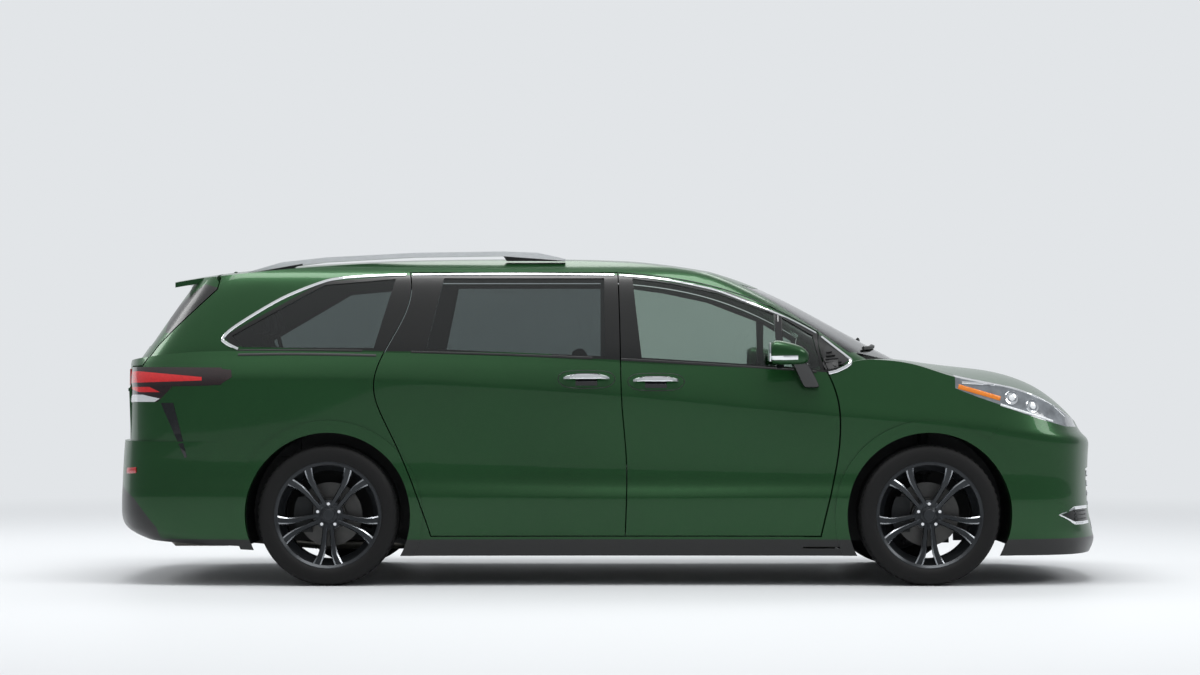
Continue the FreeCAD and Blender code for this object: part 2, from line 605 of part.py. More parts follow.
# Body side: sill, pillars, cant rail and rear quarter, with the posts that the doors close on.
side_region = block(-half_length * 0.984, half_length * 0.5, -half_width - overrun, 0, 0, roof * 1.1)
side_region = side_region.cut(block(-half_length * 0.984, half_length, -gate_half - gap, 0, 0, roof * 0.7))
body_side = outer.common(side_region)
body_side = body_side.cut([cabin, door_opening, fender_prism, roof_cut, gate_cut,
                           rear_bumper_prism, windshield_cut, quarter_glass_cut, tail_lamp_prism] + arch_cut)
body_side = main_solid(body_side)
post_x = 0.02 * half_length
post_front = post_x - gap * 2
post_rear = post_front - size("post_length")
post_band = block(post_rear, post_front, -half_width, 0, size("floor_bottom"), roof * 1.1)
cabin_inside = upper_skin(size("pillar_wall") + seat).common(roof_field(size("roof_wall") + seat))
cabin_core = upper_skin(size("pillar_wall") + size("post_depth")).common(
    roof_field(size("roof_wall") + size("post_depth")))
low_post = block(post_rear, post_front, -cabin_side + seat, -cabin_side + size("post_depth"),
    size("floor_bottom"),
                 roof * 0.66)
high_post = cabin_inside.common(post_band).common(block(-half_length, half_length, -half_width, 0,
    roof * 0.64, roof))
head_post = outer.common(post_band).common(block(-half_length, half_length, -half_width, 0, roof * 0.946,
    roof))
head_post = head_post.cut(roof_cut)
post = low_post.fuse([high_post.cut(cabin_core), head_post.cut(cabin_core)])
sill_rail = block(-0.345 * half_length, size("firewall_x"), -cabin_side, -size("floor_half_width"),
                  size("floor_bottom"), floor_top)
hinge_post = block(hinge_x + size("post_lean"), size("firewall_x"), -size("post_side"),
    -size("floor_half_width"),
                   size("floor_bottom"), roof * 0.64)
hinge_cap = block(hinge_x + size("post_lean") * 2, size("firewall_x"), -cabin_side,
    -size("floor_half_width") + gap,
                  roof * 0.6, roof * 0.664)
body_side = body_side.cut(swing_room).fuse([post, sill_rail, hinge_post, hinge_cap])
body_side = body_side.fuse([door_hinge(size("door_hinge_low")), door_hinge(size("door_hinge_high"))])
pieces["body_side_right"] = main_solid(body_side)

fender = outer.common(fender_prism)
fender_door_cut = side_prism(front_door_edges(), size("hinge_gap") - half_gap)
for tool in (nose_hollow, cabin, fender_door_cut, hood_cut, arch_cut[0], lamp_prism, swing_room,
    windshield_cut,
             cowl_strip):
    fender = fender.cut(tool)
pieces["fender_right"] = main_solid(fender)
for name in list(pieces):
    pieces[name.replace("right", "left")] = both_sides(pieces[name])

hood_half = body_lower.common(plan_prism(hood_edges(), -half_gap)).cut(top_field(size("hood_wall")))
hood_axis = Vector(size("hood_hinge_x"), -size("hood_arm_side") - size("hood_arm") / 2, size("hood_hinge_z"))
arm_profile = [(0, -1), (HOOD_ARM_SHARE, -1), (1, 0.2), (1, 2.2), (HOOD_ARM_SHARE, 2.2), (0, 1)]
hood_arm = plate([hood_axis + Vector(along * size("hood_arm_reach"), 0, up * size("hood_arm"))
                  for along, up in arm_profile], Vector(0, size("hood_arm"), 0))
hood_arm = hood_arm.fuse(Part.makeCylinder(size("hood_arm"), size("hood_arm"), hood_axis, Vector(0, 1, 0)))
hood_arm = hood_arm.cut(Part.makeCylinder(size("hood_pin") + seat, size("hood_arm"), hood_axis,
    Vector(0, 1, 0)))
hood_arm = hood_arm.cut(plan_prism(hood_edges(), -half_gap).cut(top))
hood_half = main_solid(hood_half).fuse(hood_arm)
pieces["hood"] = whole(main_solid(hood_half))
front_bumper = bumper_outer.common(front_bumper_prism)
for tool in (hood_cut, lamp_prism, nose_hollow, arch_cut[0], grille_prism()):
    front_bumper = front_bumper.cut(tool)
pieces["front_bumper"] = whole(main_solid(front_bumper))
rear_bumper = bumper_outer.common(rear_bumper_prism).cut([nose_hollow, arch_cut[1]])
rear_bumper = rear_bumper.cut(block(-half_length, half_length, -half_width, 0, roof * 0.4,
    roof).common(cabin))
pieces["rear_bumper"] = whole(main_solid(rear_bumper))
lamp = bumper_outer.common(lamp_prism).cut([hood_cut, nose_hollow])
lamp = main_solid(lamp)
pieces["head_lamps"] = Part.makeCompound([lamp, both_sides(lamp)])
tail_lamp = body_lower.common(tail_lamp_prism).cut(nose_hollow).cut(gate_cut)
tail_lamp = main_solid(tail_lamp)
pieces["tail_lamps"] = Part.makeCompound([tail_lamp, both_sides(tail_lamp)])
roof_half = cabin_outer.common(roof_cut).cut([cabin_high,
    side_prism(loop(side_point, GATE_SEAM_SHARES), half_gap)])
roof_half = main_solid(roof_half)
gate_axis = Vector(-size("gate_hinge_x"), -size("gate_hinge_y"), size("gate_hinge_z"))
notch_half = size("gate_arm") / 2 + gap
notch = block(-half_length, gate_axis.x + size("gate_eye") + gap, gate_axis.y - notch_half,
    gate_axis.y + notch_half,
              roof * 0.9, roof * 1.1)
gate_pin = Part.makeCylinder(size("gate_pin"), notch_half * 2 + overrun, gate_axis - Vector(
    0, notch_half + overrun / 2, 0), Vector(0, 1, 0))
roof_half = roof_half.cut(notch).fuse(gate_pin)
pieces["roof_panel"] = whole(main_solid(roof_half))
strap_start = gate_axis - Vector(0, size("gate_arm") / 2, 0)
strap = block(-half_length * 0.8, gate_axis.x, strap_start.y, strap_start.y + size("gate_arm"),
              gate_axis.z - size("gate_eye"), roof * 1.1)
strap = strap.common(cabin_outer).fuse(Part.makeCylinder(size("gate_eye"), size("gate_arm"), strap_start,
    Vector(0, 1, 0)))
strap = strap.cut(Part.makeCylinder(size("gate_pin") + seat, size("gate_arm"), strap_start, Vector(0, 1, 0)))
spoiler = block(-half_length * SPOILER_SHARES[1], -half_length * SPOILER_SHARES[0],
    -size("spoiler_half"), 0, 0, roof)
spoiler = roof_field().cut(roof_field(size("gate_eye") * 2)).common(spoiler)
gate = outer.common(gate_region)
for tool in (cabin, rear_glass_cut):
    gate = gate.cut(tool)
# The front edge is hollowed round the hinge, so that it clears the roof as the gate swings up.
sweep = Part.makeCylinder(size("gate_sweep"), half_width * 2, Vector(gate_axis.x, -half_width, gate_axis.z),
                          Vector(0, 1, 0))
gate = main_solid(main_solid(gate).cut(sweep)).fuse([strap, spoiler])
pieces["tailgate"] = whole(main_solid(gate))
shield = glass_skin.common(windshield_cut)
pieces["windshield"] = whole(main_solid(shield))
pieces["tailgate_glass"] = whole(main_solid(glass_skin.common(rear_glass_cut)))
side_panes = [pane(SLIDE_GLASS_SHARES), pane(QUARTER_GLASS_SHARES)]
pieces["rear_side_windows"] = Part.makeCompound(side_panes + [both_sides(shape) for shape in side_panes])
door_panes = Part.makeCompound([pane(FRONT_GLASS_SHARES), pane(PANE_GLASS_SHARES)])
pieces["front_glass_right"] = door_panes
pieces["front_glass_left"] = both_sides(door_panes)
COWL_SIDE_SHARES = [
    (0.45, 0.1215), (0.468, 0.1215), (0.468, 0.6), (0.605, 0.648), (0.605, 0.72), (0.59, 0.72), (0.45, 0.63)]
cowl = side_prism(loop(side_point, COWL_SIDE_SHARES)).common(body_lower).common(
    block(0, half_length, -size("cowl_half"), 0, 0, roof))
cowl = cowl.cut([cabin, hood_cut, windshield_cut])
cowl = main_solid(cowl.cut(cowl_strip.cut(top_field(size("cowl_drop")))))
hood_pin = Part.makeCylinder(size("hood_pin"),
    size("hood_arm_side") + size("hood_arm") - size("cowl_half") + overrun,
                             Vector(size("hood_hinge_x"), -size("cowl_half") + overrun,
                             size("hood_hinge_z")),
                             Vector(0, -1, 0))
pin_foot = block(size("hood_hinge_x") - size("hood_pin") * 2, size("hood_hinge_x") + size("hood_arm"),
                 -size("cowl_half") - size("hood_pin"), -size("cowl_half") + overrun,
                 size("hood_hinge_z") - overrun, size("hood_hinge_z") + size("hood_pin") * 1.5)
cowl = cowl.fuse([hood_pin, pin_foot])
pieces["cowl_panel"] = whole(main_solid(cowl))


def formula(terms):
    return " + ".join("Sizes.%s * %s" % (alias, factor) for alias, factor in terms)


def amount(terms):
    return sum(size(alias) * factor for alias, factor in terms)


def origin_plane(body, role):
    return next(item for item in body.Origin.OriginFeatures if item.Role == role)


def outline_sketch(body, name, role, corners, offset=None):
    """A closed outline whose corners are bound to the sheet, each coordinate a sum of sized terms."""
    sketch = body.newObject("Sketcher::SketchObject", name)
    sketch.AttachmentSupport = [(origin_plane(body, role), "")]
    sketch.MapMode = "FlatFace"
    if offset:
        sketch.setExpression("AttachmentOffset.Base.z", formula(offset))
    points = [Vector(amount(across), amount(up), 0) for across, up in corners]
    count = len(points)
    for index, start in enumerate(points):
        sketch.addGeometry(Part.LineSegment(start, points[(index + 1) % count]), False)
    for index, (across, up) in enumerate(corners):
        sketch.addConstraint(Sketcher.Constraint("Coincident", (index - 1) % count, 2, index, 1))
        for kind, axis, terms in (("DistanceX", -2, across), ("DistanceY", -1, up)):
            if terms:
                number = sketch.addConstraint(Sketcher.Constraint(kind, -1, 1, index, 1, amount(terms)))
                sketch.setExpression("Constraints[%d]" % number, formula(terms))
            else:
                sketch.addConstraint(Sketcher.Constraint("PointOnObject", index, 1, axis))
    return sketch


def revolved(body, name, corners):
    """An outline of radius and width turned about the body's Y axis."""
    sketch = outline_sketch(body, name + "_outline", "XY_Plane", corners)
    feature = body.newObject("PartDesign::Revolution", name)
    feature.Profile = sketch
    feature.ReferenceAxis = (sketch, ["V_Axis"])
    feature.Angle = 360
    sketch.Visibility = False
    return feature


def padded(body, name, role, corners, length, offset=None, midplane=True):
    """An outline padded to a sized length."""
    sketch = outline_sketch(body, name + "_outline", role, corners, offset)
    feature = body.newObject("PartDesign::Pad", name)
    feature.Profile = sketch
    feature.Length = amount(length)
    feature.setExpression("Length", formula(length))
    feature.Midplane = midplane
    return feature


def tyre_body():
    body = doc.addObject("PartDesign::Body", "tyre")
    bead = [("rim_diameter", 0.5)]
    wall = [("rim_diameter", 0.5), ("bead_step", 2)]
    shoulder = [("tyre_diameter", 0.5), ("tread_round", -1)]
    tread = [("tyre_diameter", 0.5)]
    side = []
    for sign in (1, -1):
        half = [(bead, [("rim_width", 0.5 * sign)]), (wall, [("tyre_width", 0.5 * sign)]),
                (shoulder, [("tyre_width", 0.5 * sign), ("sidewall_bulge", -0.5 * sign)]),
                (tread, [("tyre_width", 0.5 * sign), ("tread_round", -0.8 * sign)])]
        side.append(half)
    revolved(body, "tyre_ring", side[0] + side[1][::-1])
    return body


def wheel_body():
    body = doc.addObject("PartDesign::Body", "wheel")
    outer_radius = [("rim_diameter", 0.5), ("seat_clearance", -1)]
    inner_radius = [("rim_diameter", 0.5), ("rim_wall", -1)]
    near = [("rim_width", -0.5)]
    far = [("rim_width", 0.5)]
    revolved(body, "barrel",
        [(outer_radius, near), (outer_radius, far), (inner_radius, far), (inner_radius, near)])
    face = [("rim_width", -0.5), ("rim_dish", 1)]
    back = face + [("hub_depth", 1)]
    bore = [("stub_diameter", 0.5), ("seat_clearance", 1)]
    rim_edge = [("hub_diameter", 0.5)]
    revolved(body, "hub", [(bore, face), (rim_edge, face), (rim_edge, back), (bore, back)])
    near = [("disc_offset", 1), ("disc_thickness", -0.5)]
    far = [("disc_offset", 1), ("disc_thickness", 0.5)]
    bell = [("bell_diameter", 0.5)]
    edge = [("disc_diameter", 0.5)]
    inner_bell = [("bell_diameter", 0.5), ("rim_wall", -1)]
    bell_floor = back + [("rim_wall", 1)]
    revolved(body, "rotor", [(bore, back), (bell, back), (bell, near), (edge, near), (edge, far),
                             (inner_bell, far), (inner_bell, bell_floor), (bore, bell_floor)])
    spokes = []
    for name, sign in (("spoke_ahead", 1), ("spoke_behind", -1)):
        corners = []
        for alias, share, degrees in SPOKE_CORNERS:
            turn = math.radians(degrees * sign)
            corners.append(([(alias, share * math.cos(turn))], [(alias, share * math.sin(turn))]))
        spoke = padded(body, name, "XZ_Plane", corners, [("spoke_thickness", 1)],
                       [("rim_width", 0.5), ("rim_dish", -1), ("spoke_thickness", -0.5)])
        spokes.append(spoke)
    pattern = body.newObject("PartDesign::PolarPattern", "spokes")
    pattern.Originals = spokes
    pattern.Axis = (next(item for item in body.Origin.OriginFeatures if item.Role == "Y_Axis"), [""])
    pattern.Angle = 360
    pattern.Occurrences = SPOKE_PAIRS
    body.Tip = pattern
    return body


SPOKE_PAIRS = 5
# size, share of it and angle of the four corners of one spoke, from the hub out to the rim
SPOKE_CORNERS = [("spoke_root", 1, 2), ("rim_diameter", 0.49, 11.5), ("rim_diameter", 0.49, 16.5),
    ("spoke_root", 1, 21)]

tyre = tyre_body()
wheel = wheel_body()
doc.recompute()
corners = {"front_right": (front_axle, -1), "front_left": (front_axle, 1),
           "rear_right": (rear_axle, -1), "rear_left": (rear_axle, 1)}
placed = []
for corner, (axle, side) in corners.items():
    turn = FreeCAD.Rotation(Vector(0, 0, 1), 0 if side < 0 else 180)
    place = FreeCAD.Placement(Vector(axle, side * wheel_side, wheel_height), turn)
    for name, source in (("tyre_", tyre), ("rim_", wheel)):
        link = doc.addObject("Part::Feature", name + corner)
        link.Shape = source.Shape.copy()
        link.Placement = place
        placed.append(link)


def kingpin(height):
    """Where the right steering axis stands at that height."""
    share = (height - size("kingpin_foot")) / (size("kingpin_top") - size("kingpin_foot"))
    side = size("kingpin_low") + (size("kingpin_high") - size("kingpin_low")) * share
    return Vector(front_axle, -side, height)


def carrier(axle):
    """Hub carrier, stub and brake caliper of a right wheel."""
    side = -wheel_side
    rear_of_disc = side + size("disc_offset") + size("disc_thickness") / 2 + size("brake_gap")
    hub = ring(axle, 0, size("carrier_radius"), rear_of_disc, rear_of_disc + size("carrier_depth"))
    stub = ring(axle, 0, size("stub_diameter") / 2, side - size("rim_width") / 2 + size("rim_dish"),
        rear_of_disc)
    disc_low = side + size("disc_offset") - size("disc_thickness") / 2
    disc_high = side + size("disc_offset") + size("disc_thickness") / 2
    radius = size("disc_diameter") / 2
    clamp = ring(axle, radius - size("caliper_height"), radius + size("caliper_depth") / 2,
                 disc_low - size("caliper_depth") / 2 - size("brake_gap"),
                 rear_of_disc + size("caliper_depth"))
    clamp = clamp.common(block(axle - radius * 2, axle - radius * CALIPER_SHARE, -half_width, 0,
                               wheel_height - radius * CALIPER_SHARE, wheel_height + radius * CALIPER_SHARE))
    slot = ring(axle, 0, radius + size("brake_gap"), disc_low - size("brake_gap"),
        disc_high + size("brake_gap"))
    link = block(axle - radius, axle, rear_of_disc, rear_of_disc + size("carrier_depth") * 0.6,
                 wheel_height - size("carrier_radius") / 2, wheel_height + size("carrier_radius") / 2)
    return hub.fuse([stub, clamp.cut(slot), link])


CALIPER_SHARE = 0.55
knuckle = carrier(front_axle)
clamp_top = kingpin(size("clamp_height"))
clamp_low = kingpin(size("clamp_height") - size("carrier_radius"))
collar = rod(size("strut_diameter") / 2 + size("clamp_wall"), clamp_low, clamp_top)
upright_low = Vector(front_axle, -wheel_side + size("disc_offset") + size("carrier_depth"), wheel_height)
link = rod(size("arm_thickness") / 2, upright_low, clamp_low)
# The ball on the steering axis stands on the lower arm in every steering position.
ball = kingpin(size("kingpin_foot") + size("arm_thickness") + seat)
foot = rod(size("arm_thickness") / 2, upright_low, ball)
stud = Part.makeSphere(size("arm_thickness") / 2, ball)
strut_hole = rod(size("strut_diameter") / 2 + seat,
    kingpin(size("clamp_height") - size("carrier_radius") / 2),
                 kingpin(size("kingpin_top")))
knuckle = knuckle.fuse([collar, link, foot, stud]).cut(strut_hole)
pieces["knuckle_right"] = knuckle
pieces["knuckle_left"] = both_sides(knuckle)

# Front structure: subframe, lower arms, struts, side rails and strut towers.
sub_low = size("subframe_bottom")
sub_top = sub_low + size("subframe_height")
sub_x = front_axle
cross = block(sub_x - size("subframe_length") / 2, sub_x + size("subframe_length") / 2,
              -size("subframe_width") / 2, 0, sub_low, sub_top)
arm_top = size("kingpin_foot") + size("arm_thickness") / 2
arm_points = [Vector(sub_x - size("subframe_length") / 2, -size("subframe_width") / 2, arm_top),
              Vector(sub_x + size("subframe_length") / 2, -size("subframe_width") / 2, arm_top),
              Vector(sub_x + size("arm_thickness"), -size("kingpin_low") - size("arm_thickness") / 2,
              arm_top),
              Vector(sub_x - size("arm_thickness"), -size("kingpin_low") - size("arm_thickness") / 2,
              arm_top)]
arm = plate(arm_points, Vector(0, 0, -size("arm_thickness")))
strut = rod(size("strut_diameter") / 2, kingpin(size("clamp_height") - size("carrier_radius") / 2 + seat),
            kingpin(size("kingpin_top")))
tower_x = size("tower_length") / 2
tower_wall = block(sub_x - tower_x, sub_x + tower_x, -size("rail_outer"),
    -size("rail_outer") + size("tower_wall"),
                   size("side_rail_bottom"), size("kingpin_top"))
tower_top = block(sub_x - tower_x, sub_x + tower_x, -size("tower_out"),
    -size("rail_outer") + size("tower_wall"),
                  size("kingpin_top") - seat, size("kingpin_top") + size("tower_wall"))
side_rail = block(size("firewall_x") + size("pillar_wall"), 0.93 * half_length, -size("rail_outer"),
                  -size("rail_inner"), size("side_rail_bottom"),
                  size("side_rail_bottom") + size("side_rail_height"))
drop_post = block(sub_x - tower_x, sub_x + tower_x, -size("rail_outer"),
    -size("subframe_width") / 2 + overrun,
                  sub_low, size("side_rail_bottom"))
front_structure = cross.fuse([arm, strut, tower_wall, tower_top, side_rail, drop_post])
pieces["front_subframe"] = whole(front_structure)

# Rear axle: beam, carriers, trailing arms.
rear_carrier = carrier(rear_axle)
beam_side = -wheel_side + size("disc_offset") + size("disc_thickness") / 2 + size("brake_gap")
beam = Part.makeCylinder(size("beam_diameter") / 2, -beam_side - size("carrier_depth") * 0.5, Vector(
    rear_axle, 0, size("beam_height")), Vector(0, -1, 0))
arm_side = size("floor_half_width") * 0.8
trail = plate([Vector(rear_axle, -arm_side, size("beam_height") + size("arm_thickness")),
               Vector(rear_axle, -arm_side, size("beam_height") - size("arm_thickness")),
               Vector(rear_axle + size("arm_length"), -arm_side,
               size("floor_bottom") - size("arm_thickness")),
               Vector(rear_axle + size("arm_length") * 1.15, -arm_side, size("floor_bottom") - seat),
               Vector(-size("rear_floor_front") - size("floor_thickness") - gap, -arm_side,
                      size("floor_bottom") - seat)],
              Vector(0, size("arm_thickness"), 0))
axle_half = rear_carrier.fuse([beam, trail])
pieces["rear_axle"] = whole(axle_half)

# Floor pan: low in front, raised behind the middle row over the rear axle.
floor_body = doc.addObject("PartDesign::Body", "floor_profile")
tail_end = [("body_length", -0.5), ("tail_wall", 1)]
step_front = [("rear_floor_front", -1)]
step_rear = [("rear_floor_front", -1), ("floor_thickness", -1)]
low = [("floor_bottom", 1)]
low_top = [("floor_bottom", 1), ("floor_thickness", 1)]
high = [("floor_bottom", 1), ("rear_floor_rise", 1)]
high_top = [("floor_bottom", 1), ("rear_floor_rise", 1), ("floor_thickness", 1)]
padded(floor_body, "floor_section", "XZ_Plane", [
    ([("firewall_x", 1)], low), ([("firewall_x", 1)], low_top), (step_front, low_top),
    (step_front, high_top),
    (tail_end, high_top), (tail_end, high), (step_rear, high), (step_rear, low)], [("floor_half_width", 2)])
doc.recompute()
floor_shape = floor_body.Shape.copy()
well_side = half_width - size("liner_wall") - seat
for well_low in (-well_side, well_side - size("arch_depth")):
    well = Part.makeBox(size("liner_radius") * 2 + overrun, size("arch_depth"), roof, Vector(
        rear_axle - size("liner_radius") - overrun / 2, well_low, 0))
    floor_shape = floor_shape.cut(well)
tail_panel = block(cabin_rear, cabin_rear + size("panel_gap") * 5, -gate_half, 0,
                   size("floor_bottom") + size("rear_floor_rise"), size("gate_sill") - gap)
floor_shape = floor_shape.fuse(whole(tail_panel)).common(whole(hollow))
board_low = size("floor_bottom") + size("rear_floor_rise") + size("floor_thickness")
load_board = block(-size("load_board_rear"), -size("load_board_rear") + size("load_board_length"),
                   -size("load_board_half"), size("load_board_half"), board_low - gap,
                   board_low + size("load_board_thickness"))
floor_shape = floor_shape.fuse(load_board)
pieces["floor_pan"] = floor_shape

# Wheel-arch liners with the mud flaps behind the wheels.
LINER_NEIGHBOURS = ["body_side_right", "fender_right", "front_bumper", "rear_bumper", "cowl_panel",
    "floor_pan"]
liner_edge = -half_width * 0.985 + size("fascia_wall")
for name, axle, edge in (("front", front_axle, liner_edge), ("rear", rear_axle, -cabin_side + seat)):
    shell = ring(axle, size("liner_radius"), size("liner_radius") + size("liner_wall"), edge,
                 -half_width + size("arch_depth"))
    shell = shell.fuse(ring(axle, 0, size("liner_radius") + size("liner_wall"),
        -half_width + size("arch_depth"),
                            -half_width + size("arch_depth") + size("liner_wall")))
    shell = shell.common(block(-half_length, half_length, -half_width, 0,
        wheel_height - size("flap_drop"), roof))
    flap_x = axle - size("liner_radius") - size("liner_wall") * 1.2
    flap = block(flap_x, flap_x + size("liner_wall"), -wheel_side - size("flap_width") / 2,
                 -wheel_side + size("flap_width") / 2, wheel_height - size("flap_drop"),
                 wheel_height + overrun * 2)
    liner_cuts = [strut_hole] if name == "front" else [
        ring(rear_axle, 0, size("beam_diameter"), -half_width,
        0).translated(Vector(0, 0, size("beam_height") - wheel_height))]
    if name == "front":
        liner_cuts.append(block(sub_x - size("subframe_length") / 2 - gap,
            sub_x + size("subframe_length") / 2 + gap,
                                -half_width, 0, 0, arm_top + gap))
        liner_cuts.append(swing_room)
    else:
        liner_cuts.append(block(rear_axle, rear_axle + size("arm_length") * 1.2, -arm_side - gap,
                                -arm_side + size("arm_thickness") + gap, 0,
                                size("beam_height") + size("arm_thickness") * 1.2))
    shell = shell.fuse(flap).cut(liner_cuts)
    for neighbour in LINER_NEIGHBOURS:
        shell = shell.cut(pieces[neighbour])
    pieces["arch_liners_" + name] = shell
liners = [main_solid(pieces.pop("arch_liners_front")), main_solid(pieces.pop("arch_liners_rear"))]
pieces["arch_liners"] = Part.makeCompound(liners + [both_sides(shape) for shape in liners])

# Engine, as one plain block on the subframe.
engine = doc.addObject("Part::Box", "engine_block")
engine.Label = "engine_block"
engine.setExpression("Length", "Sizes.engine_length")
engine.setExpression("Width", "Sizes.engine_width")
engine.setExpression("Height", "Sizes.engine_height")
engine.Placement.Base = Vector(size("engine_rear"), -size("engine_width") / 2, sub_top + seat)

# Exhaust: pipe under the floor, silencer and tail pipe on the right.
BEND_SHARE = 1.04
MUFFLER_BEVEL_SHARE = 0.22
pipe_radius = size("pipe_diameter") / 2
pipe_z = size("floor_bottom") - pipe_radius - seat
route = [Vector(size("engine_rear") - overrun * 2, -size("pipe_side"), pipe_z),
         Vector(rear_axle - size("beam_diameter") * 2, -size("pipe_side"), pipe_z),
         Vector(-size("muffler_rear") + size("muffler_length") / 2,
         -size("tail_pipe_side") + pipe_radius * 3,
                size("tail_pipe_height"))]
exhaust = rod(pipe_radius, route[0], route[1]).fuse([
    Part.makeSphere(pipe_radius * BEND_SHARE, route[1]), rod(pipe_radius, route[1], route[2])])
muffler = block(-size("muffler_rear"), -size("muffler_rear") + size("muffler_length"),
                -size("tail_pipe_side") - pipe_radius, -size("tail_pipe_side") + size("muffler_width"),
                size("tail_pipe_height") - size("muffler_height") / 2,
                size("tail_pipe_height") + size("muffler_height") / 2)
muffler = muffler.makeChamfer(size("muffler_height") * MUFFLER_BEVEL_SHARE, muffler.Edges)
tail_pipe = rod(pipe_radius,
    Vector(-size("muffler_rear") + overrun, -size("tail_pipe_side"), size("tail_pipe_height")),
                Vector(-size("tail_pipe_tip"), -size("tail_pipe_side"), size("tail_pipe_height")))
tail_pipe = tail_pipe.cut(rod(pipe_radius * 0.85, Vector(-size("muffler_rear") - overrun / 2, -size(
    "tail_pipe_side"), size("tail_pipe_height")),
    Vector(-size("tail_pipe_tip") - overrun, -size("tail_pipe_side"), size("tail_pipe_height"))))
hanger = block(-size("muffler_rear") + size("muffler_length") / 2 - pipe_radius,
    -size("muffler_rear") + size("muffler_length") / 2 + pipe_radius,
               -size("tail_pipe_side") + size("muffler_width") / 2,
               -size("tail_pipe_side") + size("muffler_width") / 2 + pipe_radius,
               size("tail_pipe_height"), size("floor_bottom") + size("rear_floor_rise") - seat)
exhaust = exhaust.fuse([muffler, tail_pipe, hanger])
pieces["exhaust"] = exhaust


# Seats: four chairs in one node, and the rear bench.
def cushion_block(length, width, height, corner):
    shape = Part.makeBox(length, width, height, corner)
    return shape.makeChamfer(size("seat_round"), shape.Edges)


def chair(x_rear, y_mid, width, floor_z, pedestal, heads):
    """A seat whose cushion starts at x_rear, built up from the floor."""
    stand = Part.makeBox(size("cushion_length") * PEDESTAL_SHARE, pedestal,
        size("pedestal_height") + overrun, Vector(
        x_rear + size("cushion_length") * (1 - PEDESTAL_SHARE) / 2, y_mid - pedestal / 2, floor_z + seat))
    cushion_low = floor_z + size("pedestal_height")
    cushion = cushion_block(size("cushion_length"), width, size("cushion_height"), Vector(
        x_rear, y_mid - width / 2, cushion_low))
    back_low = cushion_low + size("seat_round")
    lean = math.degrees(math.atan2(size("back_lean"), size("back_height")))
    back = cushion_block(size("back_thickness"), width, size("back_height"), Vector())
    parts = [stand, cushion]
    tilt = FreeCAD.Placement(Vector(x_rear, y_mid, back_low), FreeCAD.Rotation(Vector(0, 1, 0), -lean))
    back.translate(Vector(0, -width / 2, 0))
    backs = [back]
    for head_y in heads:
        head = cushion_block(size("back_thickness"), size("head_width"), size("head_height"), Vector(
            0, head_y - size("head_width") / 2, size("back_height") + size("seat_round")))
        post = Part.makeBox(size("seat_round"), size("head_width") / 3, size("seat_round") * 3, Vector(
            size("back_thickness") / 2 - size("seat_round") / 2, head_y - size("head_width") / 6,
            size("back_height") - size("seat_round")))
        backs += [head, post]
    for shape in backs:
        shape.Placement = tilt.multiply(shape.Placement)
        parts.append(shape)
    return parts[0].fuse(parts[1:])


PEDESTAL_SHARE = 0.7
chairs = []
for row in ("front_row_x", "middle_row_x"):
    for side in (-1, 1):
        chairs.append(chair(size(row) - size("cushion_length"), side * size("seat_side"), size("seat_width"),
                            floor_top, size("pedestal_width"), [0]))
pieces["seats"] = Part.makeCompound(chairs)
rear_floor_top = floor_top + size("rear_floor_rise")
pieces["rear_bench"] = chair(size("rear_row_x") - size("cushion_length") / 2, 0, size("bench_width"),
    rear_floor_top,
                             size("bench_width") * PEDESTAL_SHARE, [-size("bench_width") / 3, 0,
                                                                    size("bench_width") / 3])

# Dashboard with the steering column, and the steering wheel.
GRIP_SIDES = 6


def hand_rim(radius, half_section):
    """The rim of the steering wheel about the Z axis, its section a flat-sided ring."""
    corners = []
    for index in range(GRIP_SIDES):
        turn = 2 * math.pi * index / GRIP_SIDES
        corners.append(Vector(radius + half_section * math.cos(turn), 0, half_section * math.sin(turn)))
    return Part.Face(Part.makePolygon(corners + corners[:1])).revolve(Vector(), Vector(0, 0, 1), 360)


DASH_SHARES = [(0.4501, 0.36), (0.4501, 0.6), (0.41, 0.635), (0.352, 0.62), (0.342, 0.58), (0.356, 0.46),
    (0.39, 0.36)]
dash = straight(side_point, DASH_SHARES + DASH_SHARES[:1])
dash = closed_face(dash).extrude(Vector(0, size("dash_half_width") * 2, 0))
dash.translate(Vector(0, -size("dash_half_width"), 0))
wheel_centre = Vector(size("hand_wheel_x"), size("seat_side"), size("hand_wheel_z"))
column_way = Vector(math.cos(COLUMN_TILT), 0, -math.sin(COLUMN_TILT))
column = Part.makeCylinder(size("column_diameter") / 2, size("hand_wheel_diameter") * 0.5,
                           wheel_centre + column_way * (size("column_diameter") + seat), column_way)
pieces["dashboard"] = dash.fuse(column)
hub_disc = Part.makeCylinder(size("column_diameter"), size("column_diameter"), wheel_centre, column_way)
grip = hand_rim(size("hand_wheel_diameter") / 2 - size("hand_wheel_section") / 2,
    size("hand_wheel_section") / 2)
grip.Placement = FreeCAD.Placement(wheel_centre, FreeCAD.Rotation(Vector(0, 0, 1), column_way))
hand_spokes = []
for turn in (0, 90, 180):
    spoke = Part.makeBox(size("hand_wheel_diameter") / 2 - size("hand_wheel_section") / 2,
        size("hand_wheel_section"),
                         size("hand_wheel_section") / 2, Vector(0, -size("hand_wheel_section") / 2, 0))
    spoke.rotate(Vector(), Vector(0, 0, 1), turn)
    spoke.Placement = FreeCAD.Placement(wheel_centre,
        FreeCAD.Rotation(Vector(0, 0, 1), column_way)).multiply(
        spoke.Placement)
    hand_spokes.append(spoke)
pieces["steering_wheel"] = hub_disc.fuse([grip] + hand_spokes)

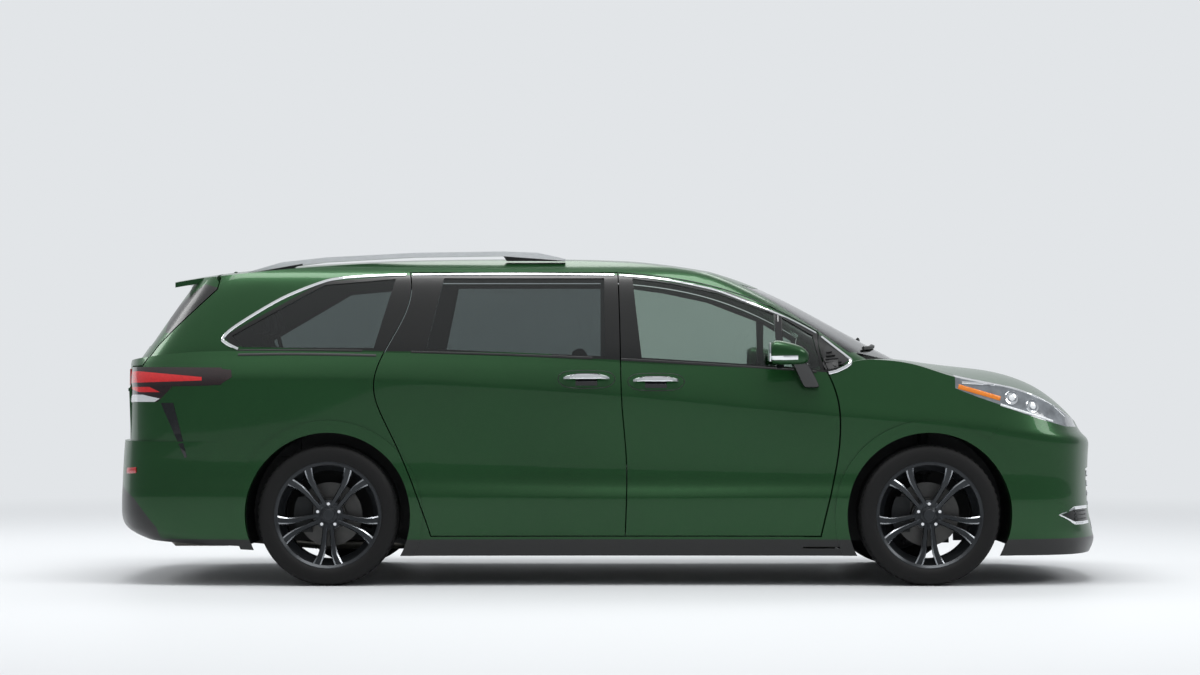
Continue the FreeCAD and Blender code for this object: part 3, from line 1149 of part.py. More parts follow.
# Roof rails, each on two feet that follow the roof.
RAIL_SHARES = [
    (-0.728, 0.945), (-0.66, 0.975), (-0.57, 0.99), (-0.39, 1.004), (-0.215, 1.008), (-0.145, 1.004),
    (-0.09, 0.985), (-0.09, 0.96), (-0.2, 0.96), (-0.215, 0.994), (-0.39, 0.99), (-0.57, 0.975),
    (-0.63, 0.963),
    (-0.66, 0.94), (-0.728, 0.92)]
rail = closed_face(loop(side_point, RAIL_SHARES)).extrude(Vector(0, size("rail_width"), 0))
rail.translate(Vector(0, -size("rail_side") - size("rail_width") / 2, 0))
rail = main_solid(rail.cut(roof_field(-seat)))
pieces["roof_rails"] = Part.makeCompound([rail, both_sides(rail)])

# Door mirrors.
shell_box = Part.makeBox(size("mirror_length"), size("mirror_width"), size("mirror_height"), Vector(
    size("mirror_x") - size("mirror_length") / 2, -size("mirror_y") - size("mirror_width") / 2,
    size("mirror_z") - size("mirror_height") / 2))
shell_box = shell_box.makeFillet(size("mirror_round"), shell_box.Edges)
arm_low = size("mirror_z") - size("mirror_height") / 2 - size("mirror_arm_height") / 2
mirror_arm = block(size("mirror_arm_x") - size("mirror_arm_length") / 2,
                   size("mirror_arm_x") + size("mirror_arm_length") / 2, -size("mirror_y"), -cabin_side,
                   arm_low, arm_low + size("mirror_arm_height"))
mirror = main_solid(shell_box.fuse(mirror_arm).cut(outer))
pieces["mirror_right"] = mirror
pieces["mirror_left"] = both_sides(mirror)

# Grille set into the front bumper.
grille_region = grille_prism(-seat)


def set_back(depth):
    """The nose moved back by a depth, within the grille's opening."""
    return bumper_body.translated(Vector(-depth, 0, 0)).common(grille_region)


grille_front = set_back(size("grille_set_back"))
grille_back = grille_front.cut(bumper_body.translated(Vector(-size("grille_set_back")
    - size("grille_back"), 0, 0)))
bar_front = set_back(0).cut(bumper_body.translated(Vector(-size("grille_set_back")
    - size("grille_back") / 2, 0, 0)))
bars = []
for share in GRILLE_BAR_SHARES:
    slab = block(half_length * 0.8, half_length * 1.1, -half_width, 0, roof * share - size("grille_bar") / 2,
                 roof * share + size("grille_bar") / 2)
    bars.append(bar_front.common(slab))
grille = grille_back.fuse(bars)
pieces["grille"] = whole(main_solid(grille))

for name, shape in pieces.items():
    feature = doc.addObject("Part::Feature", name)
    feature.Label = name
    feature.Shape = shape
    placed.append(feature)
placed.append(engine)
doc.recompute()
os.makedirs("parts", exist_ok=True)
for item in placed:
    if "Invalid" in item.State or item.Shape.isNull():
        raise RuntimeError(item.Label + " could not be made")
    item.Shape.exportStep("parts/" + item.Label + ".step")
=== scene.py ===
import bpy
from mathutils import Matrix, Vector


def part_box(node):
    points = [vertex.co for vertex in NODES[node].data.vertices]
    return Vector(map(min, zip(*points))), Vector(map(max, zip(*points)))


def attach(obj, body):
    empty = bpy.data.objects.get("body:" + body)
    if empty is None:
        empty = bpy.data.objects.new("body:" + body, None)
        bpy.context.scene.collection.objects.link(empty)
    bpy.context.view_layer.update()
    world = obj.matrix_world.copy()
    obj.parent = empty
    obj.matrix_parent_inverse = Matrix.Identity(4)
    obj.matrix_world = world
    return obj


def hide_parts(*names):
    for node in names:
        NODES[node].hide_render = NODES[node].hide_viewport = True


bl_info = {
    "name": "Family minivan",
    "version": (1, 0, 0),
    "blender": (4, 5, 0),
    "location": "View3D > Sidebar > Minivan",
    "description": "Paint, glass, wheels, lamps, trim and cabin of a family minivan",
    "category": "Object",
}

import math

import bmesh
import bpy
from mathutils import Matrix, Vector
from mathutils.bvhtree import BVHTree

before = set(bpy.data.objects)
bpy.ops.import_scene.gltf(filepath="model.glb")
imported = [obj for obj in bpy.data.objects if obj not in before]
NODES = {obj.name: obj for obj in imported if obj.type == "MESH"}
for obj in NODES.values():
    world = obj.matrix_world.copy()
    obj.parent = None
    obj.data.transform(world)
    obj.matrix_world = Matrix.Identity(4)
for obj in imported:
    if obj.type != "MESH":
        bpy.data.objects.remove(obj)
MM = 0.001
SIDES = (("right", -1), ("left", 1))
CORNERS = [(end + "_" + word, end, sign) for end in ("front", "rear") for word, sign in SIDES]
QUARTER_TURN = Matrix.Rotation(math.radians(90), 4, "X")

# Side-view outlines where a finish changes on one panel, in metres, length then height.
WINDOW_BAND = (
    [(-1.912, 1.200), (-1.155, 1.194), (-0.3, 1.166), (-0.3, 1.590), (-1.035, 1.590), (-1.482, 1.556),
     (-1.984, 1.270)],
    [(-0.3, 1.166), (0.6, 1.122), (0.6, 1.505), (0.557, 1.512), (0.313, 1.564), (0.038, 1.590),
     (-0.3, 1.590)],
    [(0.6, 1.122), (1.135, 1.084), (1.231, 1.156), (1.072, 1.284), (0.861, 1.396), (0.6, 1.505)])
SILL_BAND = ([(-3.0, -0.1), (3.0, -0.1), (3.0, 0.235), (-3.0, 0.235)],)
REAR_SKIRT = (
    [(-3.0, -0.1), (-2.28, -0.1), (-2.30, 0.235), (-2.315, 0.292), (-2.44, 0.44), (-2.56, 0.52),
     (-3.0, 0.52)],)
RAIL_FEET = (
    [(-1.95, 1.50), (-1.60, 1.50), (-1.60, 1.653), (-1.90, 1.600)],
    [(-0.56, 1.50), (-0.15, 1.50), (-0.235, 1.668), (-0.56, 1.692)])
GATE_BAND = ([(-2.30, 1.290), (-2.17, 1.290), (-1.955, 1.505), (-2.10, 1.545), (-2.30, 1.40)],)
FOG_POCKET = ([(0.60, 0.316), (0.80, 0.316), (0.868, 0.357), (0.80, 0.384), (0.60, 0.384)],)
TAIL_RED = (
    [(-2.9, 1.034), (-2.42, 1.034), (-2.08, 1.044), (-2.08, 1.062), (-2.42, 1.092), (-2.9, 1.096)],
    [(-2.9, 0.985), (-2.42, 0.985), (-2.28, 0.945), (-2.24, 0.958), (-2.36, 1.012), (-2.9, 1.012)])
TAIL_CLEAR = ([(-2.9, 0.935), (-2.33, 0.935), (-2.30, 0.952), (-2.40, 0.972), (-2.9, 0.972)],)
# half the width over which one finish passes into the other
EDGE_BLUR = 0.0006


# Colours and materials.

def linear(text):
    """An sRGB hex colour as linear red, green, blue and alpha."""
    parts = [int(text[i:i + 2], 16) / 255 for i in (1, 3, 5)]
    return [p / 12.92 if p <= 0.04045 else ((p + 0.055) / 1.055) ** 2.4 for p in parts] + [1.0]


def add(tree, kind, inputs=None, **settings):
    """One node with its settings; an input that is a socket is linked, anything else is set."""
    made = tree.nodes.new("ShaderNode" + kind)
    for key, value in settings.items():
        setattr(made, key, value)
    for key, value in (inputs or {}).items():
        if isinstance(value, bpy.types.NodeSocket):
            tree.links.new(value, made.inputs[key])
        else:
            made.inputs[key].default_value = value
    return made


def new_material(name):
    """An empty node material, its tree and the Object coordinates that its patterns follow."""
    made = bpy.data.materials.new(name)
    made.use_nodes = True
    made.node_tree.nodes.clear()
    place = add(made.node_tree, "TexCoord").outputs["Object"]
    return made, made.node_tree, place


def finish_material(made, tree, surface, rough, relief=None, **values):
    """The shader at the end of a material.

    rough is a pattern and the roughness at its 0 and 1; relief is a height, its depth in mm and its strength.
    """
    cloud, low, high = rough
    inputs = {key.replace("_", " "): value for key, value in values.items()}
    span = add(tree, "MapRange", {"Value": cloud, "To Min": low, "To Max": high})
    inputs["Roughness"] = span.outputs["Result"]
    if relief:
        height, depth_mm, strength = relief
        bump = add(tree, "Bump", {"Height": height, "Distance": depth_mm * MM, "Strength": strength})
        inputs["Normal"] = bump.outputs["Normal"]
    shader = add(tree, "BsdfPrincipled", {"Base Color": surface, **inputs})
    add(tree, "OutputMaterial", {"Surface": shader.outputs["BSDF"]})
    return made


def per(size_mm):
    """The scale at which a pattern's cells or clouds are about that size."""
    return 1 / (size_mm * MM)


WAVE_TURN = 6.283


def waves(size_mm):
    """The scale at which a wave's lines stand about twice that far apart."""
    return per(size_mm) / WAVE_TURN


def tinted(tree, place, low, high, size_mm, detail=3.0):
    """Two colours mixed by noise whose clouds are about that size, and the noise itself."""
    noise = add(tree, "TexNoise", {"Vector": place, "Scale": per(size_mm), "Detail": detail}).outputs["Fac"]
    mix = add(tree, "MixRGB", {"Fac": noise, "Color1": linear(low), "Color2": linear(high)})
    return mix.outputs["Color"], noise


def within(tree, place, outlines):
    """1 inside any of some convex, anticlockwise side-view outlines, and 0 outside them."""
    best = None
    for outline in outlines:
        depth = None
        for (x0, z0), (x1, z1) in zip(outline, outline[1:] + outline[:1]):
            inward = Vector((z0 - z1, 0, x1 - x0)).normalized()
            along = add(tree, "VectorMath", {0: place, 1: inward}, operation="DOT_PRODUCT").outputs["Value"]
            here = add(tree, "Math", {0: along, 1: inward.x * x0 + inward.z * z0}, operation="SUBTRACT")
            if depth is not None:
                here = add(tree, "Math", {0: depth, 1: here.outputs[0]}, operation="MINIMUM")
            depth = here.outputs[0]
        if best is not None:
            depth = add(tree, "Math", {0: best, 1: depth}, operation="MAXIMUM").outputs[0]
        best = depth
    edge = add(tree, "MapRange", {"Value": best, "From Min": -EDGE_BLUR, "From Max": EDGE_BLUR})
    return edge.outputs["Result"]


def painted_over(tree, place, colour, outlines, tone):
    """A colour with another laid over it inside some outlines."""
    inside = within(tree, place, outlines)
    over = tone if isinstance(tone, bpy.types.NodeSocket) else linear(tone)
    return add(tree, "MixRGB", {"Fac": inside, "Color1": colour, "Color2": over}).outputs["Color"], inside


FLAKE_MM, FLAKE_GLINT_SHARE = 1.2, 0.16


def green_paint(name, low, high, black=(), pockets=(), flake="#9fce8a"):
    # Metallic base coat under clear lacquer: the fine flakes are light dots in the colour, partly their own
    # bright metal and partly painted glint; the lacquer gives a sharp highlight.
    made, tree, place = new_material(name)
    colour, cloud = tinted(tree, place, low, high, 900)
    # real flakes are 0.05 mm; drawn 1.2 mm wide so that they show at all
    cells = add(tree, "TexVoronoi", {"Vector": place, "Scale": per(FLAKE_MM)}).outputs["Distance"]
    painted_flake_glint = add(tree, "MapRange", {"Value": cells, "From Max": 0.35, "To Min": 1.0, "To Max": 0.0})
    share = add(tree, "Math", {0: painted_flake_glint.outputs["Result"], 1: FLAKE_GLINT_SHARE}, operation="MULTIPLY").outputs[0]
    # painted glint: the light flake dots are mixed into the base colour
    mixed = add(tree, "MixRGB", {"Fac": share, "Color1": colour, "Color2": linear(flake)}).outputs["Color"]
    metal, coat = 0.6, 0.36
    if black:
        # the black parts are the same panel in satin black
        mixed, inside = painted_over(tree, place, mixed, black, "#030404")
        if pockets:
            # pockets are drawn in the view from ahead, alike on both sides
            spot = add(tree, "SeparateXYZ", {"Vector": place})
            side = add(tree, "Math", {0: spot.outputs["Y"]}, operation="ABSOLUTE").outputs[0]
            ahead = add(tree, "CombineXYZ", {"X": side, "Z": spot.outputs["Z"]}).outputs["Vector"]
            mixed = painted_over(tree, ahead, mixed, pockets, "#08090a")[0]
        spans = [add(tree, "MapRange", {"Value": inside, "To Min": green, "To Max": dark})
                 for green, dark in ((metal, 0.0), (coat, 0.15))]
        metal, coat = (span.outputs["Result"] for span in spans)
    return finish_material(made, tree, mixed, (cloud, 0.3, 0.38), Metallic=metal, Coat_Weight=coat,
                           Coat_Roughness=0.03, Coat_IOR=1.5)


def tail_lens(name, red, clear):
    # Moulded acrylic lamp: smoked outside, red over the light bars, clear over the reversing lamp.
    made, tree, place = new_material(name)
    colour, cloud = tinted(tree, place, "#17090a", "#240c0e", 70)
    glow = tinted(tree, place, "#b5171a", "#e0262a", 12)[0]
    colour = painted_over(tree, place, colour, red, glow)[0]
    colour = painted_over(tree, place, colour, clear, "#cfd2d4")[0]
    ribs = add(tree, "TexWave", {"Vector": place, "Scale": waves(2.4)}).outputs["Fac"]
    return finish_material(made, tree, colour, (cloud, 0.05, 0.1), (ribs, 0.3, 0.3), IOR=1.49,
                           Coat_Weight=0.8, Coat_Roughness=0.02)


def moulded_plastic(name, low, high, grain_mm, rough):
    # Injection-moulded polypropylene: leathery grain that breaks up the highlight.
    made, tree, place = new_material(name)
    colour, cloud = tinted(tree, place, low, high, 60)
    grain = add(tree, "TexVoronoi", {"Vector": place, "Scale": per(grain_mm)}).outputs["Distance"]
    return finish_material(made, tree, colour, (cloud, rough - 0.07, rough + 0.07), (grain, 0.12, 0.6))


def gloss_black(name):
    # Piano-black acrylic: deep, with the faintest orange peel.
    made, tree, place = new_material(name)
    colour, cloud = tinted(tree, place, "#0a0b0c", "#101113", 200)
    peel = add(tree, "TexNoise", {"Vector": place, "Scale": per(6), "Detail": 1.0}).outputs["Fac"]
    return finish_material(made, tree, colour, (cloud, 0.05, 0.1), (peel, 0.02, 0.4), Coat_Weight=0.6,
                           Coat_Roughness=0.03)


def bright_metal(name, low, high, rough_low, rough_high, metallic=1.0, black=()):
    # Plated, machined or metal-painted surface: it mirrors its surroundings, with slight clouding.
    made, tree, place = new_material(name)
    colour, cloud = tinted(tree, place, low, high, 35)
    if black:
        colour, inside = painted_over(tree, place, colour, black, "#0d0e0f")
        span = add(tree, "MapRange", {"Value": inside, "To Min": metallic, "To Max": 0.0})
        metallic = span.outputs["Result"]
    return finish_material(made, tree, colour, (cloud, rough_low, rough_high), Metallic=metallic)


def cast_metal(name, low, high, rough):
    # Rough casting with a dull coat and dust in the pores.
    made, tree, place = new_material(name)
    colour, cloud = tinted(tree, place, low, high, 25, detail=6.0)
    pores = add(tree, "TexNoise", {"Vector": place, "Scale": per(3), "Detail": 4.0}).outputs["Fac"]
    return finish_material(made, tree, colour, (cloud, rough - 0.1, rough + 0.1), (pores, 0.4, 0.5),
                           Metallic=0.5)


def tyre_rubber(name):
    # Cured rubber: near black, matt, browner and dustier in patches.
    made, tree, place = new_material(name)
    colour, cloud = tinted(tree, place, "#0d0d0e", "#151414", 90, detail=5.0)
    skin = add(tree, "TexNoise", {"Vector": place, "Scale": per(2.5), "Detail": 3.0}).outputs["Fac"]
    return finish_material(made, tree, colour, (cloud, 0.62, 0.78), (skin, 0.12, 0.5), Specular_IOR_Level=0.3)


def window_glass(name, tone, film, index=1.5):
    # Toughened or laminated glass, tinted through: it darkens what is seen and mirrors the sky.
    made, tree, place = new_material(name)
    colour = tinted(tree, place, tone, film, 1200)[0]
    # the pane lets light through unbent, as a thin sheet does
    clear = add(tree, "BsdfTransparent", {"Color": colour}).outputs["BSDF"]
    gloss = add(tree, "Fresnel", {"IOR": index}).outputs["Fac"]
    mirror = add(tree, "BsdfGlossy", {"Color": linear("#ffffff"), "Roughness": 0.01}).outputs["BSDF"]
    thin = add(tree, "MixShader", {0: gloss, 1: clear, 2: mirror}).outputs["Shader"]
    shadow = add(tree, "LightPath").outputs["Is Shadow Ray"]
    whole = add(tree, "MixShader", {0: shadow, 1: thin, 2: clear}).outputs["Shader"]
    add(tree, "OutputMaterial", {"Surface": whole})
    return made


def lens(name, tone, deep, ribs_mm, rough=0.04):
    # Moulded polycarbonate lens: clear colour over fine optic ribs.
    made, tree, place = new_material(name)
    colour, cloud = tinted(tree, place, tone, deep, 70)
    ribs = add(tree, "TexWave", {"Vector": place, "Scale": waves(ribs_mm)}, bands_direction="X")
    return finish_material(made, tree, colour, (cloud, rough, rough + 0.04), (ribs.outputs["Fac"], 0.6, 0.5),
                           IOR=1.58, Coat_Weight=0.8, Coat_Roughness=0.02)


def seat_cloth(name, low, high):
    # Woven upholstery: ribs of 1.4 mm crossed by a finer weft, both drawn about 5 mm apart to show.
    made, tree, place = new_material(name)
    colour, cloud = tinted(tree, place, low, high, 45)
    warp = add(tree, "TexWave", {"Vector": place, "Scale": waves(2.8)}, bands_direction="Y").outputs["Fac"]
    weft = add(tree, "TexWave", {"Vector": place, "Scale": waves(2.2)}, bands_direction="X").outputs["Fac"]
    weave = add(tree, "Math", {0: warp, 1: weft}, operation="MULTIPLY").outputs[0]
    dark = add(tree, "MixRGB", {"Fac": weave, "Color1": linear(low), "Color2": colour}).outputs["Color"]
    return finish_material(made, tree, dark, (cloud, 0.75, 0.9), (weave, 0.5, 0.7), Sheen_Weight=0.4,
                           Sheen_Roughness=0.5)


def floor_finish(name, tone, back):
    # Pale studio floor with a fine matt grain; far off it fades into the plain backdrop.
    made, tree, place = new_material(name)
    cloud = add(tree, "TexNoise", {"Vector": place, "Scale": per(4000), "Detail": 3.0}).outputs["Fac"]
    rough = add(tree, "MapRange", {"Value": cloud, "To Min": 0.55, "To Max": 0.6}).outputs["Result"]
    shader = add(tree, "BsdfPrincipled", {"Base Color": linear(tone), "Roughness": rough})
    plain = add(tree, "Emission", {"Color": linear(back), "Strength": 1.0})
    reach = add(tree, "VectorMath", {0: place}, operation="LENGTH").outputs["Value"]
    far = add(tree, "MapRange", {"Value": reach, "From Min": 4.5, "From Max": 12.0},
              interpolation_type="SMOOTHSTEP").outputs["Result"]
    path = add(tree, "LightPath").outputs
    # light that matt surfaces gather still comes from the floor itself there
    seen = path["Is Camera Ray"]
    for kind in ("Is Glossy Ray", "Is Transmission Ray"):
        seen = add(tree, "Math", {0: seen, 1: path[kind]}, operation="MAXIMUM").outputs[0]
    share = add(tree, "Math", {0: far, 1: seen}, operation="MULTIPLY").outputs[0]
    mixed = add(tree, "MixShader", {0: share, 1: shader.outputs["BSDF"], 2: plain.outputs["Emission"]})
    add(tree, "OutputMaterial", {"Surface": mixed.outputs["Shader"]})
    return made


MATERIALS = {}
# short name, material name, and the outlines that are black on it
PAINTS = (("paint", "metallic_green_paint"),
          ("side_paint", "metallic_green_paint_black_window_band", WINDOW_BAND + SILL_BAND),
          ("low_paint", "metallic_green_paint_black_skirt", SILL_BAND + REAR_SKIRT),
          ("nose_paint", "metallic_green_paint_black_nose_pockets", SILL_BAND, FOG_POCKET),
          ("gate_paint", "metallic_green_paint_black_gate_band", GATE_BAND))


def make_materials(colours):
    """All finishes of the vehicle, by short name."""
    for short, name, *outlines in PAINTS:
        MATERIALS[short] = green_paint(name, colours.paint_dark, colours.paint_light, *outlines)
    MATERIALS.update({
        "tail": tail_lens("smoked_and_red_tail_lens", TAIL_RED, TAIL_CLEAR),
        "structure": green_paint("thin_body_colour_coat", "#16281a", "#1b3220", flake="#2c4a30"),
        "gloss_black": gloss_black("piano_black_acrylic"),
        "black_plastic": moulded_plastic("grained_black_polypropylene", "#131415", "#1b1c1d", 1.6, 0.55),
        "trim_plastic": moulded_plastic("grained_cabin_plastic", "#1d1e20", "#282a2c", 2.4, 0.6),
        "chrome": bright_metal("chromium_plate", "#e9ebee", "#f5f6f8", 0.06, 0.12),
        "rail": bright_metal("satin_anodised_aluminium", "#dfe1e3", "#eceeef", 0.26, 0.34, 0.45, RAIL_FEET),
        "alloy_cut": bright_metal("machined_alloy_face", "#8f9397", "#b3b6ba", 0.2, 0.3),
        "alloy_paint": bright_metal("dark_grey_wheel_paint", "#2b2d30", "#36393c", 0.26, 0.34, 0.6),
        "disc": bright_metal("turned_brake_iron", "#4a4a4a", "#5c5b59", 0.35, 0.48),
        "steel": bright_metal("stainless_exhaust_steel", "#8f8b84", "#aaa69e", 0.25, 0.4),
        "cast": cast_metal("cast_iron_and_steel", "#26282a", "#3a3b3c", 0.65),
        "tyre": tyre_rubber("tyre_rubber"),
        "dark_glass": window_glass("privacy_tinted_glass", "#b9bfbf", "#c1c7c6"),
        "back_glass": window_glass("deep_tinted_glass", "#a5abab", "#adb3b2"),
        "green_glass": window_glass("lightly_tinted_glass", "#d4dcd8", "#dae1dd"),
        "shield_glass": window_glass("laminated_windscreen_glass", "#dde6e1", "#e3ebe6", 1.28),
        "red_lens": lens("red_tail_lens", "#8d0d10", "#c4191b", 2.4),
        "amber_lens": lens("amber_lens", "#d86f0c", "#f08a1c", 2.0),
        "lamp_white": lens("white_light_guide", "#d9dde0", "#eef1f3", 1.5),
        "lamp_body": lens("silvered_lamp_body_under_clear_cover", "#24272a", "#9aa0a6", 18.0, 0.06),
        "bowl": bright_metal("aluminised_reflector", "#c4c8cc", "#dfe2e5", 0.08, 0.2),
        "cloth": seat_cloth("dark_grey_seat_cloth", "#1b1c1e", "#2a2c2f"),
        "mirror": bright_metal("silvered_mirror_glass", "#dfe3e5", "#e8ebec", 0.02, 0.04),
    })


# Shapes.

def publish(name, bm, body, finishes, slot=None, angle=35, replaces=()):
    """Turns a bmesh into a finished piece that rides on a body."""
    mesh = bpy.data.meshes.new(name)
    bm.to_mesh(mesh)
    bm.free()
    mesh.polygons.foreach_set("use_smooth", [True] * len(mesh.polygons))
    mesh.set_sharp_from_angle(angle=math.radians(angle))
    made = bpy.data.objects.new(name, mesh)
    bpy.context.scene.collection.objects.link(made)
    for finish in finishes:
        mesh.materials.append(MATERIALS[finish])
    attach(made, body)
    if replaces:
        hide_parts(*replaces)


def mirrored(bm):
    """A copy on the other side of the centre plane, its faces turned outwards again."""
    other = bm.copy()
    bmesh.ops.scale(other, vec=(1, -1, 1), verts=other.verts)
    bmesh.ops.reverse_faces(other, faces=other.faces)
    return other


def on_both_sides(name, bm, body, finishes, replaces=(), **options):
    """Publishes a right-hand shape and its mirror image, on one body or on its two namesakes."""
    for word, sign in SIDES:
        shape = mirrored(bm) if sign > 0 else bm.copy()
        nodes = [node.replace("SIDE", word) for node in replaces]
        publish(name + "_" + word, shape, body.replace("SIDE", word), finishes, replaces=nodes, **options)
    bm.free()


def revolve(bm, profile, centre, steps):
    """Spins a profile of (radius, width) pairs about a line along Y through the centre."""
    verts = [bm.verts.new(centre + Vector((0, across, radius))) for radius, across in profile]
    edges = [bm.edges.new(pair) for pair in zip(verts, verts[1:])]
    bmesh.ops.spin(bm, geom=verts + edges, cent=centre, axis=(0, 1, 0), dvec=(0, 0, 0), angle=math.tau,
                   steps=steps, use_merge=True, use_duplicate=False)


def box(bm, centre, sizes, bevel, segments=2, turn=None, material=0):
    """A block with rounded edges."""
    matrix = Matrix.Translation(centre) @ (turn or Matrix.Identity(4)) @ Matrix.Diagonal((*sizes, 1))
    verts = bmesh.ops.create_cube(bm, size=1.0, matrix=matrix)["verts"]
    faces = {face for vert in verts for face in vert.link_faces}
    edges = list({edge for vert in verts for edge in vert.link_edges})
    made = bmesh.ops.bevel(bm, geom=edges, offset=bevel, offset_type="OFFSET", segments=segments, profile=0.5,
                           affect="EDGES", material=-1)
    for face in {face for face in faces if face.is_valid} | set(made["faces"]):
        face.material_index = material


def sweep(bm, profile, frames, material=0):
    """Carries a closed profile through a row of frames; inside, a hidden face stays at each frame."""
    face = bm.faces.new([bm.verts.new(frames[0] @ Vector((across, out, 0))) for across, out in profile])
    before = set(bm.faces) - {face}
    keep = True
    for here, there in zip(frames, frames[1:]):
        made = bmesh.ops.extrude_face_region(bm, geom=[face], use_keep_orig=keep)["geom"]
        moved = [item for item in made if isinstance(item, bmesh.types.BMVert)]
        bmesh.ops.transform(bm, matrix=there @ here.inverted(), verts=moved)
        face = next(item for item in made if isinstance(item, bmesh.types.BMFace))
        keep = False
    fresh = [item for item in bm.faces if item not in before]
    for item in fresh:
        item.material_index = material
    bmesh.ops.recalc_face_normals(bm, faces=fresh)


SKINS = {}
# Rays towards the side, nose or tail start here; the skin is sought from the guess if they miss it, and a
# hit farther in than the cabin's side is a miss as well.
SIDE_START, SIDE_GUESS, CABIN_SIDE = -3.0, -0.95, -0.3
END_START, END_GUESS, GLASS_START = 4.0, 2.6, 3.0
# points of a row that are nearer than this to the one before are left out
LEAST_STEP, LEAST_SPAN = 0.001, 0.002


def skin_of(names):
    """A search tree over the outside of some CAD nodes."""
    if names not in SKINS:
        points, faces = [], []
        for name in names:
            mesh = NODES[name].data
            base = len(points)
            points += [v.co.copy() for v in mesh.vertices]
            faces += [[base + i for i in polygon.vertices] for polygon in mesh.polygons]
        SKINS[names] = BVHTree.FromPolygons(points, faces)
    return SKINS[names]


def from_side(x, z, names, strict=False):
    """The point and normal of the right skin at that length and height; if missed, the nearest or none."""
    tree = skin_of(names)
    point, normal = tree.ray_cast(Vector((x, SIDE_START, z)), Vector((0, 1, 0)))[:2]
    if point is None or point.y > CABIN_SIDE:
        if strict:
            return None
        point, normal = tree.find_nearest(Vector((x, SIDE_GUESS, z)))[:2]
    return point, -normal if normal.y > 0 else normal


def smoothed(points, per_span=6):
    """A smooth run of points through a few given ones."""
    out = []
    for i in range(len(points) - 1):
        a, b, c, d = (points[max(0, min(len(points) - 1, i + k))] for k in (-1, 0, 1, 2))
        for step in range(per_span):
            t = step / per_span
            out.append(tuple(0.5 * (2 * q + (r - p) * t + (2 * p - 5 * q + 4 * r - s) * t * t
                                    + (3 * q - p - 3 * r + s) * t ** 3) for p, q, r, s in zip(a, b, c, d)))
    return out + [tuple(points[-1])]


def apart(hits):
    """The skin points without those that lie on the one before."""
    return [hit for i, hit in enumerate(hits) if i == 0 or (hit[0] - hits[i - 1][0]).length > LEAST_STEP]


def frames_along(hits, lift=0.0):
    """Frames on a row of skin points: X across the row, Y out of the skin, Z along it."""
    points = [point for point, normal in hits]
    frames = []
    for i, (point, normal) in enumerate(hits):
        ahead = (points[min(i + 1, len(points) - 1)] - points[max(i - 1, 0)]).normalized()
        out = (normal - ahead * normal.dot(ahead)).normalized()
        place = Matrix((out.cross(ahead).normalized(), out, ahead)).transposed().to_4x4()
        place.translation = point + out * lift
        frames.append(place)
    return frames


def skin_frames(route, names):
    """Frames along a side-view route."""
    hits = [from_side(x, z, names, strict=True) for x, z in route]
    return frames_along(apart([hit for hit in hits if hit]))


def band(width, height, sunk=0.004, round_share=0.6):
    """The section of a rounded strip."""
    w = width / 2
    return [(-w, -sunk), (-w, height * 0.5), (-w * round_share, height), (w * round_share, height),
            (w, height * 0.5), (w, -sunk)]


def strip(bm, route, width, height, names, per_span=6, material=0):
    """A rounded strip laid along the skin."""
    route = [p for i, p in enumerate(route) if i == 0 or math.dist(p, route[i - 1]) > LEAST_SPAN]
    sweep(bm, band(width, height), skin_frames(smoothed(route, per_span), names), material)


def patch(bm, outline, names, lift, depth, cell=0.03, material=0):
    """A panel cut to a side-view outline and laid on the skin; the outline is convex, anticlockwise."""
    xs, zs = zip(*outline)
    span_x, span_z = max(xs) - min(xs), max(zs) - min(zs)
    piece = bmesh.new()
    bmesh.ops.create_grid(piece, x_segments=max(2, int(span_x / cell)), y_segments=max(2, int(span_z / cell)),
                          size=0.5)
    middle = Vector(((max(xs) + min(xs)) / 2, 0, (max(zs) + min(zs)) / 2))
    # a touch larger than the outline, so that every edge is cut
    larger = Matrix.Diagonal((span_x * 1.001, span_z * 1.001, 1, 1))
    bmesh.ops.transform(piece, matrix=Matrix.Translation(middle) @ QUARTER_TURN @ larger, verts=piece.verts)
    centre = Vector((sum(xs) / len(xs), 0, sum(zs) / len(zs)))
    for (x0, z0), (x1, z1) in zip(outline, outline[1:] + outline[:1]):
        normal = Vector((z1 - z0, 0, x0 - x1)).normalized()
        if normal.dot(centre - Vector((x0, 0, z0))) > 0:
            normal = -normal
        bmesh.ops.bisect_plane(piece, geom=piece.verts[:] + piece.edges[:] + piece.faces[:],
                               plane_co=(x0, 0, z0), plane_no=normal, clear_outer=True)
    for vert in piece.verts:
        point, normal = from_side(vert.co.x, vert.co.z, names)
        vert.co = point + normal * lift
    bmesh.ops.recalc_face_normals(piece, faces=piece.faces)
    if sum(face.normal.y for face in piece.faces) > 0:
        bmesh.ops.reverse_faces(piece, faces=piece.faces)
    bmesh.ops.solidify(piece, geom=piece.faces[:], thickness=depth)
    for face in piece.faces:
        face.material_index = material
    mesh = bpy.data.meshes.new("panel")
    piece.to_mesh(mesh)
    piece.free()
    bm.from_mesh(mesh)
    bpy.data.meshes.remove(mesh)


class MinivanColours(bpy.types.PropertyGroup):
    """Colours that a user may change."""
    paint_dark: bpy.props.StringProperty(name="Paint, dark", description="Darker tone of the body paint",
                                         default="#0b3916")
    paint_light: bpy.props.StringProperty(name="Paint, light", description="Lighter tone of the body paint",
                                          default="#11491e")
    floor_tone: bpy.props.StringProperty(name="Floor", description="Colour of the studio floor",
                                         default="#cfd1d3")
    back_tone: bpy.props.StringProperty(name="Backdrop", description="Colour far behind the vehicle",
                                        default="#e2e5e8")


class MinivanSizes(bpy.types.PropertyGroup):
    """Sizes that a user may change."""
    spokes: bpy.props.IntProperty(name="Spoke pairs", description="Pairs of spokes in a wheel", default=5,
                                  min=3, max=9)
    tread_blocks: bpy.props.IntProperty(name="Tread blocks", description="Blocks round a tyre", default=60,
                                        min=20)
    strip_width: bpy.props.FloatProperty(name="Bright strip", description="Width of the bright window strip",
                                         default=0.016, unit="LENGTH", subtype="DISTANCE")


